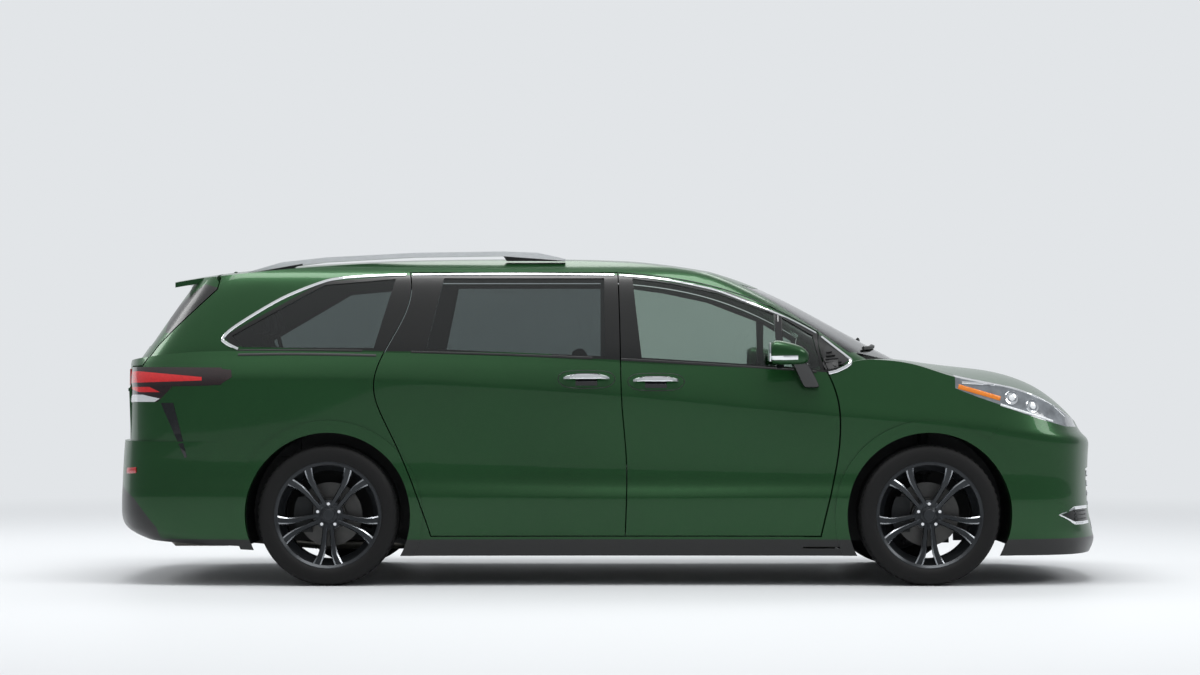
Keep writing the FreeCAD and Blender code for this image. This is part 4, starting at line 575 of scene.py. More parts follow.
# The studio, in metres: floor, lamps and camera.
FLOOR_HALF, FLOOR_DEPTH, BEND = 30, 42, 12
LAMPS = (("key", (-0.5, -2.2, 9.5), (9, 3), 760), ("front", (8.5, -3.0, 6.0), (3, 3), 200),
         ("rear", (-8.5, 2.0, 6.0), (3, 3), 200), ("far", (0.5, 6.0, 8.5), (8, 3), 300))
LAMP_AIM = Vector((0, 0, 0.8))
CAMERA_SPOT, CAMERA_PITCH = (-0.0531, -14.79, 1.0), 1.09
# the picture is 1200 pixels wide and its focal length is 2716 of them
SENSOR_MM, PICTURE_WIDTH, FOCAL_PIXELS = 36, 1200, 2716


class MINIVAN_OT_stage(bpy.types.Operator):
    """Finishes, floor, sky, lights and camera."""
    bl_idname = "minivan.stage"
    bl_label = "Stage"

    def floor(self, scene):
        """A sheet that rises in a wide bend behind the vehicle."""
        bm = bmesh.new()
        edge = bm.edges.new([bm.verts.new((x, -FLOOR_HALF, 0)) for x in (-FLOOR_HALF, FLOOR_HALF)])
        flat = bmesh.ops.extrude_edge_only(bm, edges=[edge])["geom"]
        corners = [item for item in flat if isinstance(item, bmesh.types.BMVert)]
        rim = [item for item in flat if isinstance(item, bmesh.types.BMEdge)]
        bmesh.ops.translate(bm, vec=(0, FLOOR_DEPTH, 0), verts=corners)
        bend = bmesh.ops.spin(bm, geom=rim + corners, cent=(0, FLOOR_DEPTH - FLOOR_HALF, BEND),
                              axis=(1, 0, 0), angle=math.radians(90), steps=32)["geom_last"]
        last = [item for item in bend if isinstance(item, bmesh.types.BMEdge)]
        wall = bmesh.ops.extrude_edge_only(bm, edges=last)["geom"]
        tops = [item for item in wall if isinstance(item, bmesh.types.BMVert)]
        bmesh.ops.translate(bm, vec=(0, 0, BEND), verts=tops)
        bmesh.ops.recalc_face_normals(bm, faces=bm.faces)
        mesh = bpy.data.meshes.new("floor")
        bm.to_mesh(mesh)
        bm.free()
        mesh.polygons.foreach_set("use_smooth", [True] * len(mesh.polygons))
        floor = bpy.data.objects.new("floor", mesh)
        colours = scene.minivan_colours
        mesh.materials.append(floor_finish("matt_studio_floor", colours.floor_tone, colours.back_tone))
        scene.collection.objects.link(floor)

    def sky(self, scene):
        """A pale sky that lights the vehicle; straight behind it the plain backdrop shows."""
        world = bpy.data.worlds.new("studio")
        world.use_nodes = True
        tree = world.node_tree
        tree.nodes.clear()
        place = add(tree, "TexCoord").outputs["Generated"]
        height = add(tree, "SeparateXYZ", {"Vector": place}).outputs["Z"]
        fade = add(tree, "MapRange", {"Value": height, "From Max": 0.7}).outputs["Result"]
        sky = add(tree, "MixRGB", {"Fac": fade, "Color1": linear("#8f959b"), "Color2": linear("#f4f6f8")})
        lit = add(tree, "Background", {"Color": sky.outputs["Color"], "Strength": 0.75})
        back = linear(scene.minivan_colours.back_tone)
        shown = add(tree, "Background", {"Color": back, "Strength": 1.0})
        path = add(tree, "LightPath")
        both = add(tree, "MixShader", {0: path.outputs["Is Camera Ray"], 1: lit.outputs["Background"],
                                       2: shown.outputs["Background"]})
        add(tree, "OutputWorld", {"Surface": both.outputs["Shader"]})
        scene.world = world

    def execute(self, context):
        scene = context.scene
        scene.view_settings.view_transform = "Standard"
        make_materials(scene.minivan_colours)
        self.floor(scene)
        self.sky(scene)
        for name, spot, size, power in LAMPS:
            data = bpy.data.lights.new(name, "AREA")
            data.shape, data.size, data.size_y, data.energy = "RECTANGLE", size[0], size[1], power
            lamp = bpy.data.objects.new(name, data)
            lamp.location = spot
            lamp.rotation_euler = (LAMP_AIM - Vector(spot)).to_track_quat("-Z", "Y").to_euler()
            scene.collection.objects.link(lamp)
        data = bpy.data.cameras.new("camera")
        data.sensor_width = SENSOR_MM
        data.lens = SENSOR_MM * FOCAL_PIXELS / PICTURE_WIDTH
        data.clip_end = 200
        camera = bpy.data.objects.new("camera", data)
        camera.location = CAMERA_SPOT
        camera.rotation_euler = (math.radians(90 + CAMERA_PITCH), 0, 0)
        scene.collection.objects.link(camera)
        scene.camera = camera
        return {"FINISHED"}


# The finish of each piece by its name, or by how its name begins; every other piece is painted.
FINISH_BY_NAME = {
    "floor_pan": "structure", "cowl_panel": "black_plastic", "grille": "black_plastic",
    "arch_liners": "black_plastic", "head_lamps": "lamp_body", "tail_lamps": "tail",
    "windshield": "shield_glass", "rear_side_windows": "dark_glass", "tailgate_glass": "back_glass",
    "tailgate": "gate_paint", "front_bumper": "nose_paint", "rear_bumper": "low_paint",
    "front_subframe": "cast", "rear_axle": "cast", "engine_block": "cast", "exhaust": "steel",
    "dashboard": "trim_plastic", "steering_wheel": "trim_plastic", "roof_rails": "rail"}
FINISH_BY_START = {"front_glass": "green_glass", "body_side": "side_paint", "slide_door": "side_paint",
                   "front_door": "side_paint", "fender": "side_paint", "knuckle": "cast"}


class MINIVAN_OT_finishes(bpy.types.Operator):
    """Puts the right finish on every piece of the body."""
    bl_idname = "minivan.finishes"
    bl_label = "Finishes"

    def execute(self, context):
        for name, node in NODES.items():
            by_start = [finish for start, finish in FINISH_BY_START.items() if name.startswith(start)]
            finish = FINISH_BY_NAME.get(name, by_start[0] if by_start else "paint")
            node.data.materials.clear()
            node.data.materials.append(MATERIALS[finish])
        return {"FINISHED"}


# Wheels, in metres: middles, and sections as radius and distance from the wheel's middle plane.
WHEEL_X = {"front": 1.6235, "rear": -1.4365}
WHEEL_Y = 0.869
WHEEL_Z = 0.359
SIDEWALL = [(0.273, 0.1075), (0.279, 0.1115), (0.288, 0.1155), (0.300, 0.1172), (0.318, 0.1165),
            (0.330, 0.1145), (0.338, 0.1115), (0.345, 0.1075), (0.351, 0.1010), (0.3555, 0.092),
            (0.357, 0.083)]
RIBS = [(0.357, 0.081), (0.350, 0.080), (0.350, 0.073), (0.3585, 0.072), (0.3588, 0.040), (0.350, 0.039),
        (0.350, 0.031), (0.3588, 0.030), (0.3589, 0.006), (0.350, 0.005)]
SHOULDER_NEAR, SHOULDER_FAR, SHOULDER_RADIUS = 0.074, 0.1, 0.352
BARREL = [(0.2725, -0.1078), (0.2725, -0.100), (0.262, -0.096), (0.255, -0.060), (0.232, -0.030),
          (0.232, 0.060), (0.255, 0.085), (0.262, 0.100), (0.2725, 0.1045), (0.2725, 0.1078),
          (0.268, 0.1078), (0.256, 0.092), (0.249, 0.080), (0.226, 0.055), (0.226, -0.030), (0.249, -0.060),
          (0.2555, -0.0975), (0.264, -0.1045), (0.268, -0.1078), (0.2725, -0.1078)]
HUB = [(0.0, -0.080), (0.027, -0.080), (0.030, -0.078), (0.032, -0.070), (0.045, -0.062), (0.066, -0.066),
       (0.076, -0.060), (0.078, -0.030), (0.0, -0.030)]
DISC = [(0.030, -0.028), (0.084, -0.028), (0.086, 0.018), (0.164, 0.020), (0.164, 0.027), (0.150, 0.027),
        (0.150, 0.041), (0.164, 0.041), (0.164, 0.048), (0.095, 0.048), (0.080, 0.020), (0.030, 0.0)]
# an arm's stations: radius, distance from the pair's middle line, half width, depth and height of its face
ARM_ROWS = [(0.050, 0.0165, 0.0120, 0.030, 0.070), (0.095, 0.0195, 0.0120, 0.030, 0.074),
            (0.150, 0.0250, 0.0130, 0.028, 0.083), (0.195, 0.0330, 0.0165, 0.026, 0.090),
            (0.232, 0.0480, 0.0205, 0.024, 0.096), (0.257, 0.0610, 0.0240, 0.022, 0.098)]
ARM_SECTION = [(-1, 0.0), (-1, 0.8), (-0.66, 1), (0.66, 1), (1, 0.8), (1, 0.0)]
ARM_SLOPES = ({1, 2}, {3, 4})
NUT_CIRCLE, NUT_HEIGHT, NUT_DEPTH = 0.057, 0.066, 0.022


def wheel_centre(end, sign):
    """The middle of a wheel."""
    return Vector((WHEEL_X[end], sign * WHEEL_Y, WHEEL_Z))


class MINIVAN_OT_tyres(bpy.types.Operator):
    """Tyres with ribs and tread blocks."""
    bl_idname = "minivan.tyres"
    bl_label = "Tyres"

    def execute(self, context):
        blocks = context.scene.minivan_sizes.tread_blocks
        half = SIDEWALL + RIBS
        profile = [(r, -w) for r, w in half] + [(r, w) for r, w in reversed(half)]
        for corner, end, sign in CORNERS:
            centre = wheel_centre(end, sign)
            bm = bmesh.new()
            revolve(bm, profile, centre, 120)
            # grooves across the shoulder ribs
            picked = []
            for face in bm.faces:
                at = face.calc_center_median() - centre
                if SHOULDER_NEAR < abs(at.y) < SHOULDER_FAR and at.xz.length > SHOULDER_RADIUS:
                    turn = math.atan2(at.z, at.x) / math.tau * blocks
                    if turn % 1.0 < 0.5:
                        picked.append(face)
            bmesh.ops.recalc_face_normals(bm, faces=bm.faces)
            bmesh.ops.inset_individual(bm, faces=picked, thickness=0.0016, depth=-0.004)
            publish("tyre_tread_" + corner, bm, "wheel_" + corner, ["tyre"], slot="tyre_rubber", angle=40,
                    replaces=["tyre_" + corner])
        return {"FINISHED"}


class MINIVAN_OT_wheels(bpy.types.Operator):
    """Alloy wheels with paired spokes, brake discs and wheel nuts."""
    bl_idname = "minivan.wheels"
    bl_label = "Wheels"

    def spoke(self, bm, turn, way, centre, sign):
        """One of a pair of arms beside a line out from the hub; it widens and leans off at the rim."""
        out = Vector((math.cos(turn), 0, math.sin(turn)))
        side = Vector((-math.sin(turn), 0, math.cos(turn)))
        place = {}
        rings = []
        for radius, offset, width, depth, face in ARM_ROWS:
            ring = []
            for number, (across, up) in enumerate(ARM_SECTION):
                spot = out * radius + side * (way * offset + across * width)
                vert = bm.verts.new(centre + spot + Vector((0, sign * (face - depth * (1 - up)), 0)))
                place[vert] = number
                ring.append(vert)
            rings.append(ring)
        for low, high in zip(rings, rings[1:]):
            loops = [bm.edges.get((ring[i - 1], ring[i])) or bm.edges.new((ring[i - 1], ring[i]))
                     for ring in (low, high) for i in range(len(ARM_SECTION))]
            # the two slopes beside the face are machined bright
            for face in bmesh.ops.bridge_loops(bm, edges=loops)["faces"]:
                face.material_index = int({place[v] for v in face.verts} in ARM_SLOPES)

    def nut(self, bm, turn, centre, sign):
        """A plated wheel nut on the circle round the hub."""
        spot = centre + Vector((math.cos(turn) * NUT_CIRCLE, sign * NUT_HEIGHT, math.sin(turn) * NUT_CIRCLE))
        made = bmesh.ops.create_cone(bm, cap_ends=True, segments=6, radius1=0.0095, radius2=0.0085,
                                     depth=NUT_DEPTH, matrix=Matrix.Translation(spot) @ QUARTER_TURN)
        for vert in made["verts"]:
            for face in vert.link_faces:
                face.material_index = 2

    def execute(self, context):
        pairs = context.scene.minivan_sizes.spokes
        turns = [pair * math.tau / pairs for pair in range(pairs)]
        for corner, end, sign in CORNERS:
            centre = wheel_centre(end, sign)
            barrel, hub, disc = ([(r, w * -sign) for r, w in section] for section in (BARREL, HUB, DISC))
            bm = bmesh.new()
            revolve(bm, barrel, centre, 96)
            for turn in turns:
                for way in (-1, 1):
                    self.spoke(bm, turn - math.pi / 2, way, centre, sign)
            revolve(bm, hub, centre, 60)
            for turn in turns:
                self.nut(bm, turn + math.pi / 2, centre, sign)
            bmesh.ops.recalc_face_normals(bm, faces=bm.faces)
            publish("alloy_" + corner, bm, "wheel_" + corner, ["alloy_paint", "alloy_cut", "chrome"],
                    slot="alloy", angle=28, replaces=["rim_" + corner])
            bm = bmesh.new()
            revolve(bm, disc, centre, 72)
            bmesh.ops.recalc_face_normals(bm, faces=bm.faces)
            publish("brake_disc_" + corner, bm, "wheel_" + corner, ["disc"], slot="cast_metal", angle=30)
        return {"FINISHED"}


# Side-view places of the trim, in metres, length then height.
BELT = [(-1.912, 1.196), (-1.55, 1.198), (-1.155, 1.192), (-0.55, 1.176), (0.055, 1.152), (0.6, 1.120),
        (1.0, 1.092), (1.118, 1.084)]
BELT_END = 1.062
DOOR_LINE, SLIDE_LINE, LINE_ROOM = 0.027, -1.172, 0.004
QUARTER_HEAD = [(-1.906, 1.204), (-1.968, 1.236), (-1.984, 1.262), (-1.92, 1.325), (-1.70, 1.462),
                (-1.50, 1.548), (-1.40, 1.572), (-1.25, 1.584), (-1.056, 1.591)]
SLIDE_HEAD = [(-1.022, 1.591), (-0.5, 1.594), (0.02, 1.590)]
DOOR_HEAD = [(0.050, 1.588), (0.18, 1.578), (0.313, 1.561), (0.44, 1.536), (0.557, 1.507), (0.70, 1.452),
             (0.861, 1.388), (0.97, 1.336), (1.058, 1.288)]
SAIL_EDGE = [(1.086, 1.270), (1.15, 1.218), (1.215, 1.166), (1.232, 1.148), (1.215, 1.122), (1.16, 1.094),
             (1.115, 1.082)]
SAIL = [(1.068, 1.100), (1.130, 1.098), (1.212, 1.140), (1.215, 1.158), (1.110, 1.230), (1.085, 1.180)]
DIVISION = [(0.862, 1.108), (0.866, 1.378)]
SLIDE_TRACK = [(-1.900, 1.176), (-1.60, 1.179), (-1.195, 1.172)]
LAMP_BROW = [(1.715, 1.038), (2.00, 1.018), (2.16, 0.972), (2.27, 0.920), (2.345, 0.862)]
LAMP_AMBER = [(1.775, 1.014), (1.88, 0.984), (1.99, 0.952)]
LAMP_GUIDE = [(1.84, 0.968), (2.02, 0.912), (2.16, 0.870), (2.27, 0.836)]
PROJECTORS = ((2.05, 0.955), (2.16, 0.912))
TAIL_BAR = [(-2.05, 1.018), (-1.985, 1.024), (-1.925, 1.062), (-1.93, 1.098), (-2.05, 1.110), (-2.30, 1.112),
            (-2.50, 1.106), (-2.50, 1.014), (-2.30, 1.014)]
TAIL_LOBE = [(-2.31, 0.938), (-2.235, 1.010), (-2.50, 1.010), (-2.50, 0.930)]
TAIL_GARNISH = [(-2.295, 0.930), (-2.228, 0.930), (-2.155, 0.655), (-2.166, 0.650)]
REFLECTOR = [(-2.49, 0.58), (-2.43, 0.585)]

# Places on the nose and the tail, in metres, across then height.
GRILLE_BARS = ((0.404, 0.50), (0.456, 0.55), (0.507, 0.585), (0.559, 0.60))
FOG_OUTLINE = ((0.62, 0.389), (0.72, 0.390), (0.80, 0.389), (0.878, 0.357), (0.80, 0.311), (0.72, 0.310),
               (0.62, 0.311))
FOG_SLATS = (0.332, 0.352, 0.372)
FRONT_BLADES = (((-0.08, 1.225), (-0.62, 1.205)), ((0.56, 1.215), (-0.04, 1.262)))
BLADE = [(-0.009, -0.006), (-0.004, 0.007), (0.004, 0.007), (0.009, -0.006), (0, -0.011)]
GRIP = [(-0.012, -0.004), (-0.013, 0.002), (-0.009, 0.007), (0.007, 0.008), (0.013, 0.003), (0.012, -0.003),
        (0.008, -0.006), (-0.006, -0.006)]

# The pieces whose skin the trim lies on.
DOOR = ("front_door_right",)
DOOR_GLASS = ("front_door_right", "front_glass_right")
SLIDE = ("slide_door_right", "rear_side_windows")
QUARTER = ("body_side_right",)
QUARTER_GLASS = ("body_side_right", "rear_side_windows")
SAIL_SKIN = ("body_side_right", "fender_right")
LAMP = ("head_lamps",)
NOSE = ("front_bumper",)
GATE = ("tailgate",)
GATE_GLASS = ("tailgate_glass", "tailgate")
TAIL_SKIN = ("tail_lamps", "body_side_right", "tailgate", "rear_bumper")


def from_ahead(y, z, way, names):
    """The point and normal of the skin as seen from ahead (way 1) or behind (way -1)."""
    tree = skin_of(names)
    point, normal = tree.ray_cast(Vector((way * END_START, y, z)), Vector((-way, 0, 0)))[:2]
    if point is None:
        point, normal = tree.find_nearest(Vector((way * END_GUESS, y, z)))[:2]
    return point, -normal if normal.x * way < 0 else normal


def end_frames(route, way, names, lift=0.0):
    """Frames along a route of (y, z) points on the nose or the tail."""
    return frames_along(apart([from_ahead(y, z, way, names) for y, z in route]), lift)


def between(start, end, steps):
    """Evenly spaced points from one to another."""
    return [tuple(a + (b - a) * k / steps for a, b in zip(start, end)) for k in range(steps + 1)]


def facing(point, normal, lift):
    """A frame over a skin point whose Z looks out of the skin."""
    return Matrix.Translation(point + normal * lift) @ normal.to_track_quat("Z", "Y").to_matrix().to_4x4()


def strips(name, body, finishes, rows):
    """One piece on both sides, made of strips; a row holds what strip takes after its bmesh."""
    bm = bmesh.new()
    for row in rows:
        strip(bm, *row)
    on_both_sides(name, bm, body, finishes)


def end_bar(name, body, finishes, start, end, steps, section, way, names, lift=0.0, slot=None):
    """One piece: a bar over the nose or the tail between two (y, z) points."""
    bm = bmesh.new()
    sweep(bm, section, end_frames(between(start, end, steps), way, names, lift))
    publish(name, bm, body, finishes, slot=slot)


def plate(name, body, way, names, touch, sunk, height, sizes, bevel):
    """A blank number plate, set into the skin as that stands at the height "touch"."""
    bm = bmesh.new()
    box(bm, (from_ahead(0, touch, way, names)[0].x - sunk, 0, height), sizes, bevel)
    publish(name, bm, body, ["rail"])


def handle(bm, x_low, x_high, z_low, z_high, names):
    """A painted cup with a dark rim, a gloss black patch painted as the shade in its pocket, and a slim
    bright bar across it.
    """
    corner, low_corner, high_corner = 0.05, 0.03, 0.025
    outline = [(x_low, z_low + low_corner), (x_low + corner, z_low), (x_high - corner, z_low),
               (x_high, z_low + low_corner), (x_high, z_high - high_corner), (x_high - corner, z_high),
               (x_low + corner, z_high), (x_low, z_high - high_corner)]
    patch(bm, outline, names, 0.0010, 0.003, cell=0.02)
    strip(bm, outline + outline[:1], 0.0035, 0.0016, names, per_span=3, material=2)
    # painted shade: a gloss black patch inside the rim stands for the shade in the cup's pocket above and
    # below the bar
    inset_x, inset_z = 0.085, 0.010
    left, right, low, high = x_low + inset_x, x_high - inset_x, z_low + inset_z, z_high - inset_z
    patch(bm, [(left, low), (right, low), (right, high), (left, high)], names, 0.0016, 0.003, cell=0.02,
          material=2)
    middle = (z_low + z_high) / 2 + 0.004
    ends = [(x_low + 0.024, middle), (x_low + 0.07, middle + 0.002), ((x_low + x_high) / 2, middle + 0.003),
            (x_high - 0.07, middle + 0.002), (x_high - 0.024, middle)]
    frames = skin_frames(smoothed(ends, 4), names)
    count = len(frames)
    # the bar springs from the skin at both ends and is slimmer there
    for i, place in enumerate(frames):
        share = min(i, count - 1 - i) / (count * 0.22)
        rise = 0.004 + 0.024 * min(1.0, share)
        slim = 0.55 + 0.45 * min(1.0, share * 0.7)
        frames[i] = Matrix.Translation(place.col[1].xyz * rise) @ place @ Matrix.Diagonal((slim, 1, 1, 1))
    sweep(bm, GRIP, frames, material=1)


class MINIVAN_OT_trim(bpy.types.Operator):
    """Window strips, the sail corner, the slide rail and the door handles."""
    bl_idname = "minivan.trim"
    bl_label = "Trim"

    def execute(self, context):
        width = context.scene.minivan_sizes.strip_width
        head, rubber = 0.005, 0.004
        strips("division_bar", "front_door_SIDE", ["gloss_black"], [(DIVISION, 0.030, 0.004, DOOR_GLASS)])
        # sail corner with its louvres
        bm = bmesh.new()
        patch(bm, SAIL, SAIL_SKIN, 0.003, 0.006, cell=0.012)
        for row in range(5):
            z = 1.118 + row * 0.017
            louvre = [(1.094 + row * 0.003, z), (1.198 - row * 0.016, z + 0.004)]
            strip(bm, louvre, 0.006, 0.012, SAIL_SKIN)
        on_both_sides("sail_corner", bm, "body", ["black_plastic"])
        # black rubber along the belt and a bright strip over the glass, split at the door lines
        belt = smoothed(BELT, 4)
        door_belt = [p for p in belt if DOOR_LINE + LINE_ROOM < p[0] < BELT_END]
        slide_belt = [p for p in belt if SLIDE_LINE + LINE_ROOM < p[0] < DOOR_LINE - LINE_ROOM]
        quarter_belt = [p for p in belt if p[0] < SLIDE_LINE - LINE_ROOM]
        strips("belt_rubber", "body", ["black_plastic"], [
            (quarter_belt, width * 0.8, rubber, QUARTER, 1), (slide_belt, width * 0.8, rubber, SLIDE, 1)])
        strips("window_strip", "body", ["chrome"], [
            (smoothed(QUARTER_HEAD), width, head, QUARTER_GLASS, 1),
            (smoothed(SLIDE_HEAD), width * 0.7, head, SLIDE, 1),
            (smoothed(SAIL_EDGE), width, head, SAIL_SKIN, 1)])
        strips("door_strip", "front_door_SIDE", ["chrome", "black_plastic"], [
            (smoothed(DOOR_HEAD), width * 0.7, head, DOOR, 1), (door_belt, width * 0.8, rubber, DOOR, 1, 1)])
        # rail on which the sliding door runs, along the quarter
        strips("slide_rail", "body", ["black_plastic"], [(SLIDE_TRACK, 0.014, 0.002, QUARTER)])
        for name, body, place, names in (
                ("slide_handle", "body", (-0.263, 0.018, 1.008, 1.092), SLIDE),
                ("door_handle", "front_door_SIDE", (0.092, 0.372, 0.996, 1.078), DOOR)):
            bm = bmesh.new()
            handle(bm, *place, names)
            on_both_sides(name, bm, body, ["paint", "chrome", "gloss_black"])
        return {"FINISHED"}


class MINIVAN_OT_front(bpy.types.Operator):
    """Headlamp optics, grille bars, fog lamp surrounds, lower intake, plate and wipers."""
    bl_idname = "minivan.front"
    bl_label = "Front"

    def projector(self, bm, x, z):
        """A bright bowl round a white lens, on the lamp's cover."""
        point, normal = from_side(x, z, LAMP)
        rim = bmesh.ops.create_cone(bm, cap_ends=True, segments=40, radius1=0.038, radius2=0.034, depth=0.006,
                                    matrix=facing(point, normal, 0.001))["verts"]
        caps = [face for face in {face for vert in rim for face in vert.link_faces}
                if len(face.verts) > 4 and face.calc_center_median().dot(normal) > point.dot(normal)]
        for thickness, depth in ((0.008, -0.002), (0.010, 0.004)):
            bmesh.ops.inset_region(bm, faces=caps, thickness=thickness, depth=depth)
        for face in caps:
            face.material_index = 1

    def execute(self, context):
        # bright strip over the lamp, amber lamp behind it, white light guide below
        strips("lamp_strip", "body", ["chrome", "amber_lens", "lamp_white"], [
            (LAMP_BROW, 0.012, 0.004, LAMP), (LAMP_AMBER, 0.024, 0.003, LAMP, 6, 1),
            (LAMP_GUIDE, 0.012, 0.003, LAMP, 6, 2)])
        bm = bmesh.new()
        for x, z in PROJECTORS:
            self.projector(bm, x, z)
        on_both_sides("lamp_projector", bm, "body", ["bowl", "lamp_white"])
        for number, (z, reach) in enumerate(GRILLE_BARS):
            end_bar("grille_bar_%d" % number, "body", ["chrome"], (-reach, z), (reach, z), 24,
                    band(0.018, 0.004, 0.003), 1, ("grille",))
        # fog lamp surrounds with their slats
        for word, sign in SIDES:
            bm = bmesh.new()
            sweep(bm, band(0.016, 0.005), end_frames([(sign * y, z) for y, z in FOG_OUTLINE], 1, NOSE))
            for z in FOG_SLATS:
                slat = [(sign * y, z) for y in (0.66, 0.72, 0.80)]
                sweep(bm, band(0.006, 0.003), end_frames(slat, 1, NOSE), material=1)
            publish("fog_surround_" + word, bm, "body", ["chrome", "black_plastic"])
        end_bar("lower_intake", "body", ["black_plastic"], (-0.42, 0.292), (0.42, 0.292), 20,
                band(0.075, 0.002), 1, NOSE)
        plate("front_plate", "body", 1, NOSE, 0.277, 0.003, 0.352, (0.012, 0.31, 0.15), 0.004)
        # wipers lying on the windscreen's foot
        bm = bmesh.new()
        glass = skin_of(("windshield",))
        for start, end in FRONT_BLADES:
            hits = [glass.ray_cast(Vector((GLASS_START, y, z)), Vector((-1, 0, 0)))[:2]
                    for y, z in between(start, end, 8)]
            sweep(bm, BLADE, frames_along([hit for hit in hits if hit[0] is not None], 0.012))
        publish("front_wipers", bm, "body", ["black_plastic"])
        return {"FINISHED"}


class MINIVAN_OT_rear(bpy.types.Operator):
    """Tail lamps, garnish, plate, stop lamp, wiper and reflectors."""
    bl_idname = "minivan.rear"
    bl_label = "Rear"

    def execute(self, context):
        bm = bmesh.new()
        panels = ((TAIL_BAR, 0.0018, 0), (TAIL_LOBE, 0.0016, 0), (TAIL_GARNISH, 0.0016, 1))
        for outline, lift, material in panels:
            patch(bm, sorted_hull(outline), TAIL_SKIN, lift, 0.006, material=material)
        on_both_sides("tail_lens", bm, "body", ["tail", "gloss_black"], slot="red_lamp")
        # inner lamps on the tailgate, joined by a bar
        end_bar("gate_lens", "tailgate", ["red_lens"], (-0.655, 1.062), (0.655, 1.062), 30,
                band(0.088, 0.005, 0.004, 0.94), -1, GATE, slot="red_lamp")
        end_bar("gate_bar", "tailgate", ["chrome"], (-0.60, 0.998), (0.60, 0.998), 30,
                band(0.020, 0.012, 0.004), -1, GATE)
        plate("rear_plate", "tailgate", -1, GATE, 0.88, 0.002, 0.875, (0.010, 0.33, 0.165), 0.003)
        end_bar("stop_lamp", "tailgate", ["red_lens"], (-0.17, 1.592), (0.17, 1.592), 10,
                band(0.014, 0.003, 0.003), -1, GATE, slot="red_lamp")
        # wiper on its hub under the rear window
        bm = bmesh.new()
        arm = between((0.02, 1.236), (0.44, 1.256), 8)
        sweep(bm, band(0.014, 0.016, 0.0), end_frames(arm, -1, GATE_GLASS, 0.002))
        hub = facing(*from_ahead(0.0, 1.215, -1, GATE_GLASS), 0.010)
        bmesh.ops.create_cone(bm, cap_ends=True, segments=24, radius1=0.026, radius2=0.02, depth=0.03,
                              matrix=hub)
        publish("rear_wiper", bm, "tailgate", ["black_plastic"])
        strips("bumper_reflector", "body", ["red_lens"], [(REFLECTOR, 0.03, 0.004, ("rear_bumper",))])
        return {"FINISHED"}


def sorted_hull(points):
    """The convex outline round some side-view points, in order."""
    rows = sorted(set(points))
    out = []
    for run in (rows, rows[::-1]):
        part = []
        for point in run:
            while len(part) > 1 and ((part[-1][0] - part[-2][0]) * (point[1] - part[-2][1])
                                     - (part[-1][1] - part[-2][1]) * (point[0] - part[-2][0])) <= 0:
                part.pop()
            part.append(point)
        out += part[:-1]
    return out


MIRROR_MIDDLE = (0.902, -1.062, 1.187)
MIRROR_SIZES = (0.202, 0.131, 0.124)
MIRROR_SLICES = 8
# shares by which the cap is lower and narrower in front
CAP_DROP, CAP_TAPER = 0.40, 0.30
# the foot leans back and widens downwards from here
FOOT_TOP, FOOT_ROOT, FOOT_LEAN, FOOT_SPREAD = 1.138, -0.93, 0.5, 4.5


class MINIVAN_OT_mirrors(bpy.types.Operator):
    """Painted caps with a bright strip, black feet and mirror glass."""
    bl_idname = "minivan.mirrors"
    bl_label = "Mirrors"

    def execute(self, context):
        housing = bmesh.new()
        box(housing, MIRROR_MIDDLE, MIRROR_SIZES, 0.046, 6)
        rear, inner, bottom = (centre + sign * size / 2 for centre, sign, size
                               in zip(MIRROR_MIDDLE, (-1, 1, -1), MIRROR_SIZES))
        length = MIRROR_SIZES[0]
        for cut in range(1, MIRROR_SLICES):
            bmesh.ops.bisect_plane(housing, geom=housing.verts[:] + housing.edges[:] + housing.faces[:],
                                   plane_co=(rear + length * cut / MIRROR_SLICES, 0, 0), plane_no=(1, 0, 0))
        for vert in housing.verts:
            share = (vert.co.x - rear) / length
            vert.co.z = bottom + (vert.co.z - bottom) * (1 - CAP_DROP * share ** 2)
            vert.co.y = inner + (vert.co.y - inner) * (1 - CAP_TAPER * share ** 2)
        SKINS[("mirror_housing",)] = BVHTree.FromBMesh(housing)
        on_both_sides("mirror_housing", housing, "front_door_SIDE", ["paint"], angle=50, slot="body_paint",
                      replaces=["mirror_SIDE"])
        strips("mirror_strip", "front_door_SIDE", ["chrome"], [
            ([(0.812, 1.157), (0.87, 1.158), (0.945, 1.160)], 0.022, 0.002, ("mirror_housing",))])
        bm = bmesh.new()
        box(bm, (rear + 0.004, *MIRROR_MIDDLE[1:]), (0.010, 0.108, 0.096), 0.0045)
        on_both_sides("mirror_glass", bm, "front_door_SIDE", ["mirror"])
        bm = bmesh.new()
        box(bm, (0.960, -0.975, 1.072), (0.085, 0.130, 0.132), 0.018, 3)
        for vert in bm.verts:
            drop = FOOT_TOP - vert.co.z
            vert.co.x += drop * FOOT_LEAN
            vert.co.y = FOOT_ROOT + (vert.co.y - FOOT_ROOT) * (1 - FOOT_SPREAD * drop)
        on_both_sides("mirror_foot", bm, "front_door_SIDE", ["gloss_black"])
        return {"FINISHED"}


COVER_ROOM, COVER_ROUNDING = 0.024, 0.24
VOXEL = 0.012
MOST_PUFF = 0.022
PUFF_FRAMES = 20
# a back leans this far over this height, in millimetres
BACK_LEAN = math.atan2(150, 560)
CUSHION, BACK, HEAD_REST = (0.51, 0.50, 0.13), (0.11, 0.50, 0.56), (0.10, 0.26, 0.18)
BASE_SIZES, TRAY_SIZES, POST_RADIUS = (0.357, 0.38, 0.168), (0.46, 0.46, 0.03), 0.006
FRONT_CHAIR, MIDDLE_CHAIR, REAR_CHAIR = (-0.03, 0.435, 1.0), (-0.94, 0.435, 1.0), (-1.745, 0.67, 0.72)
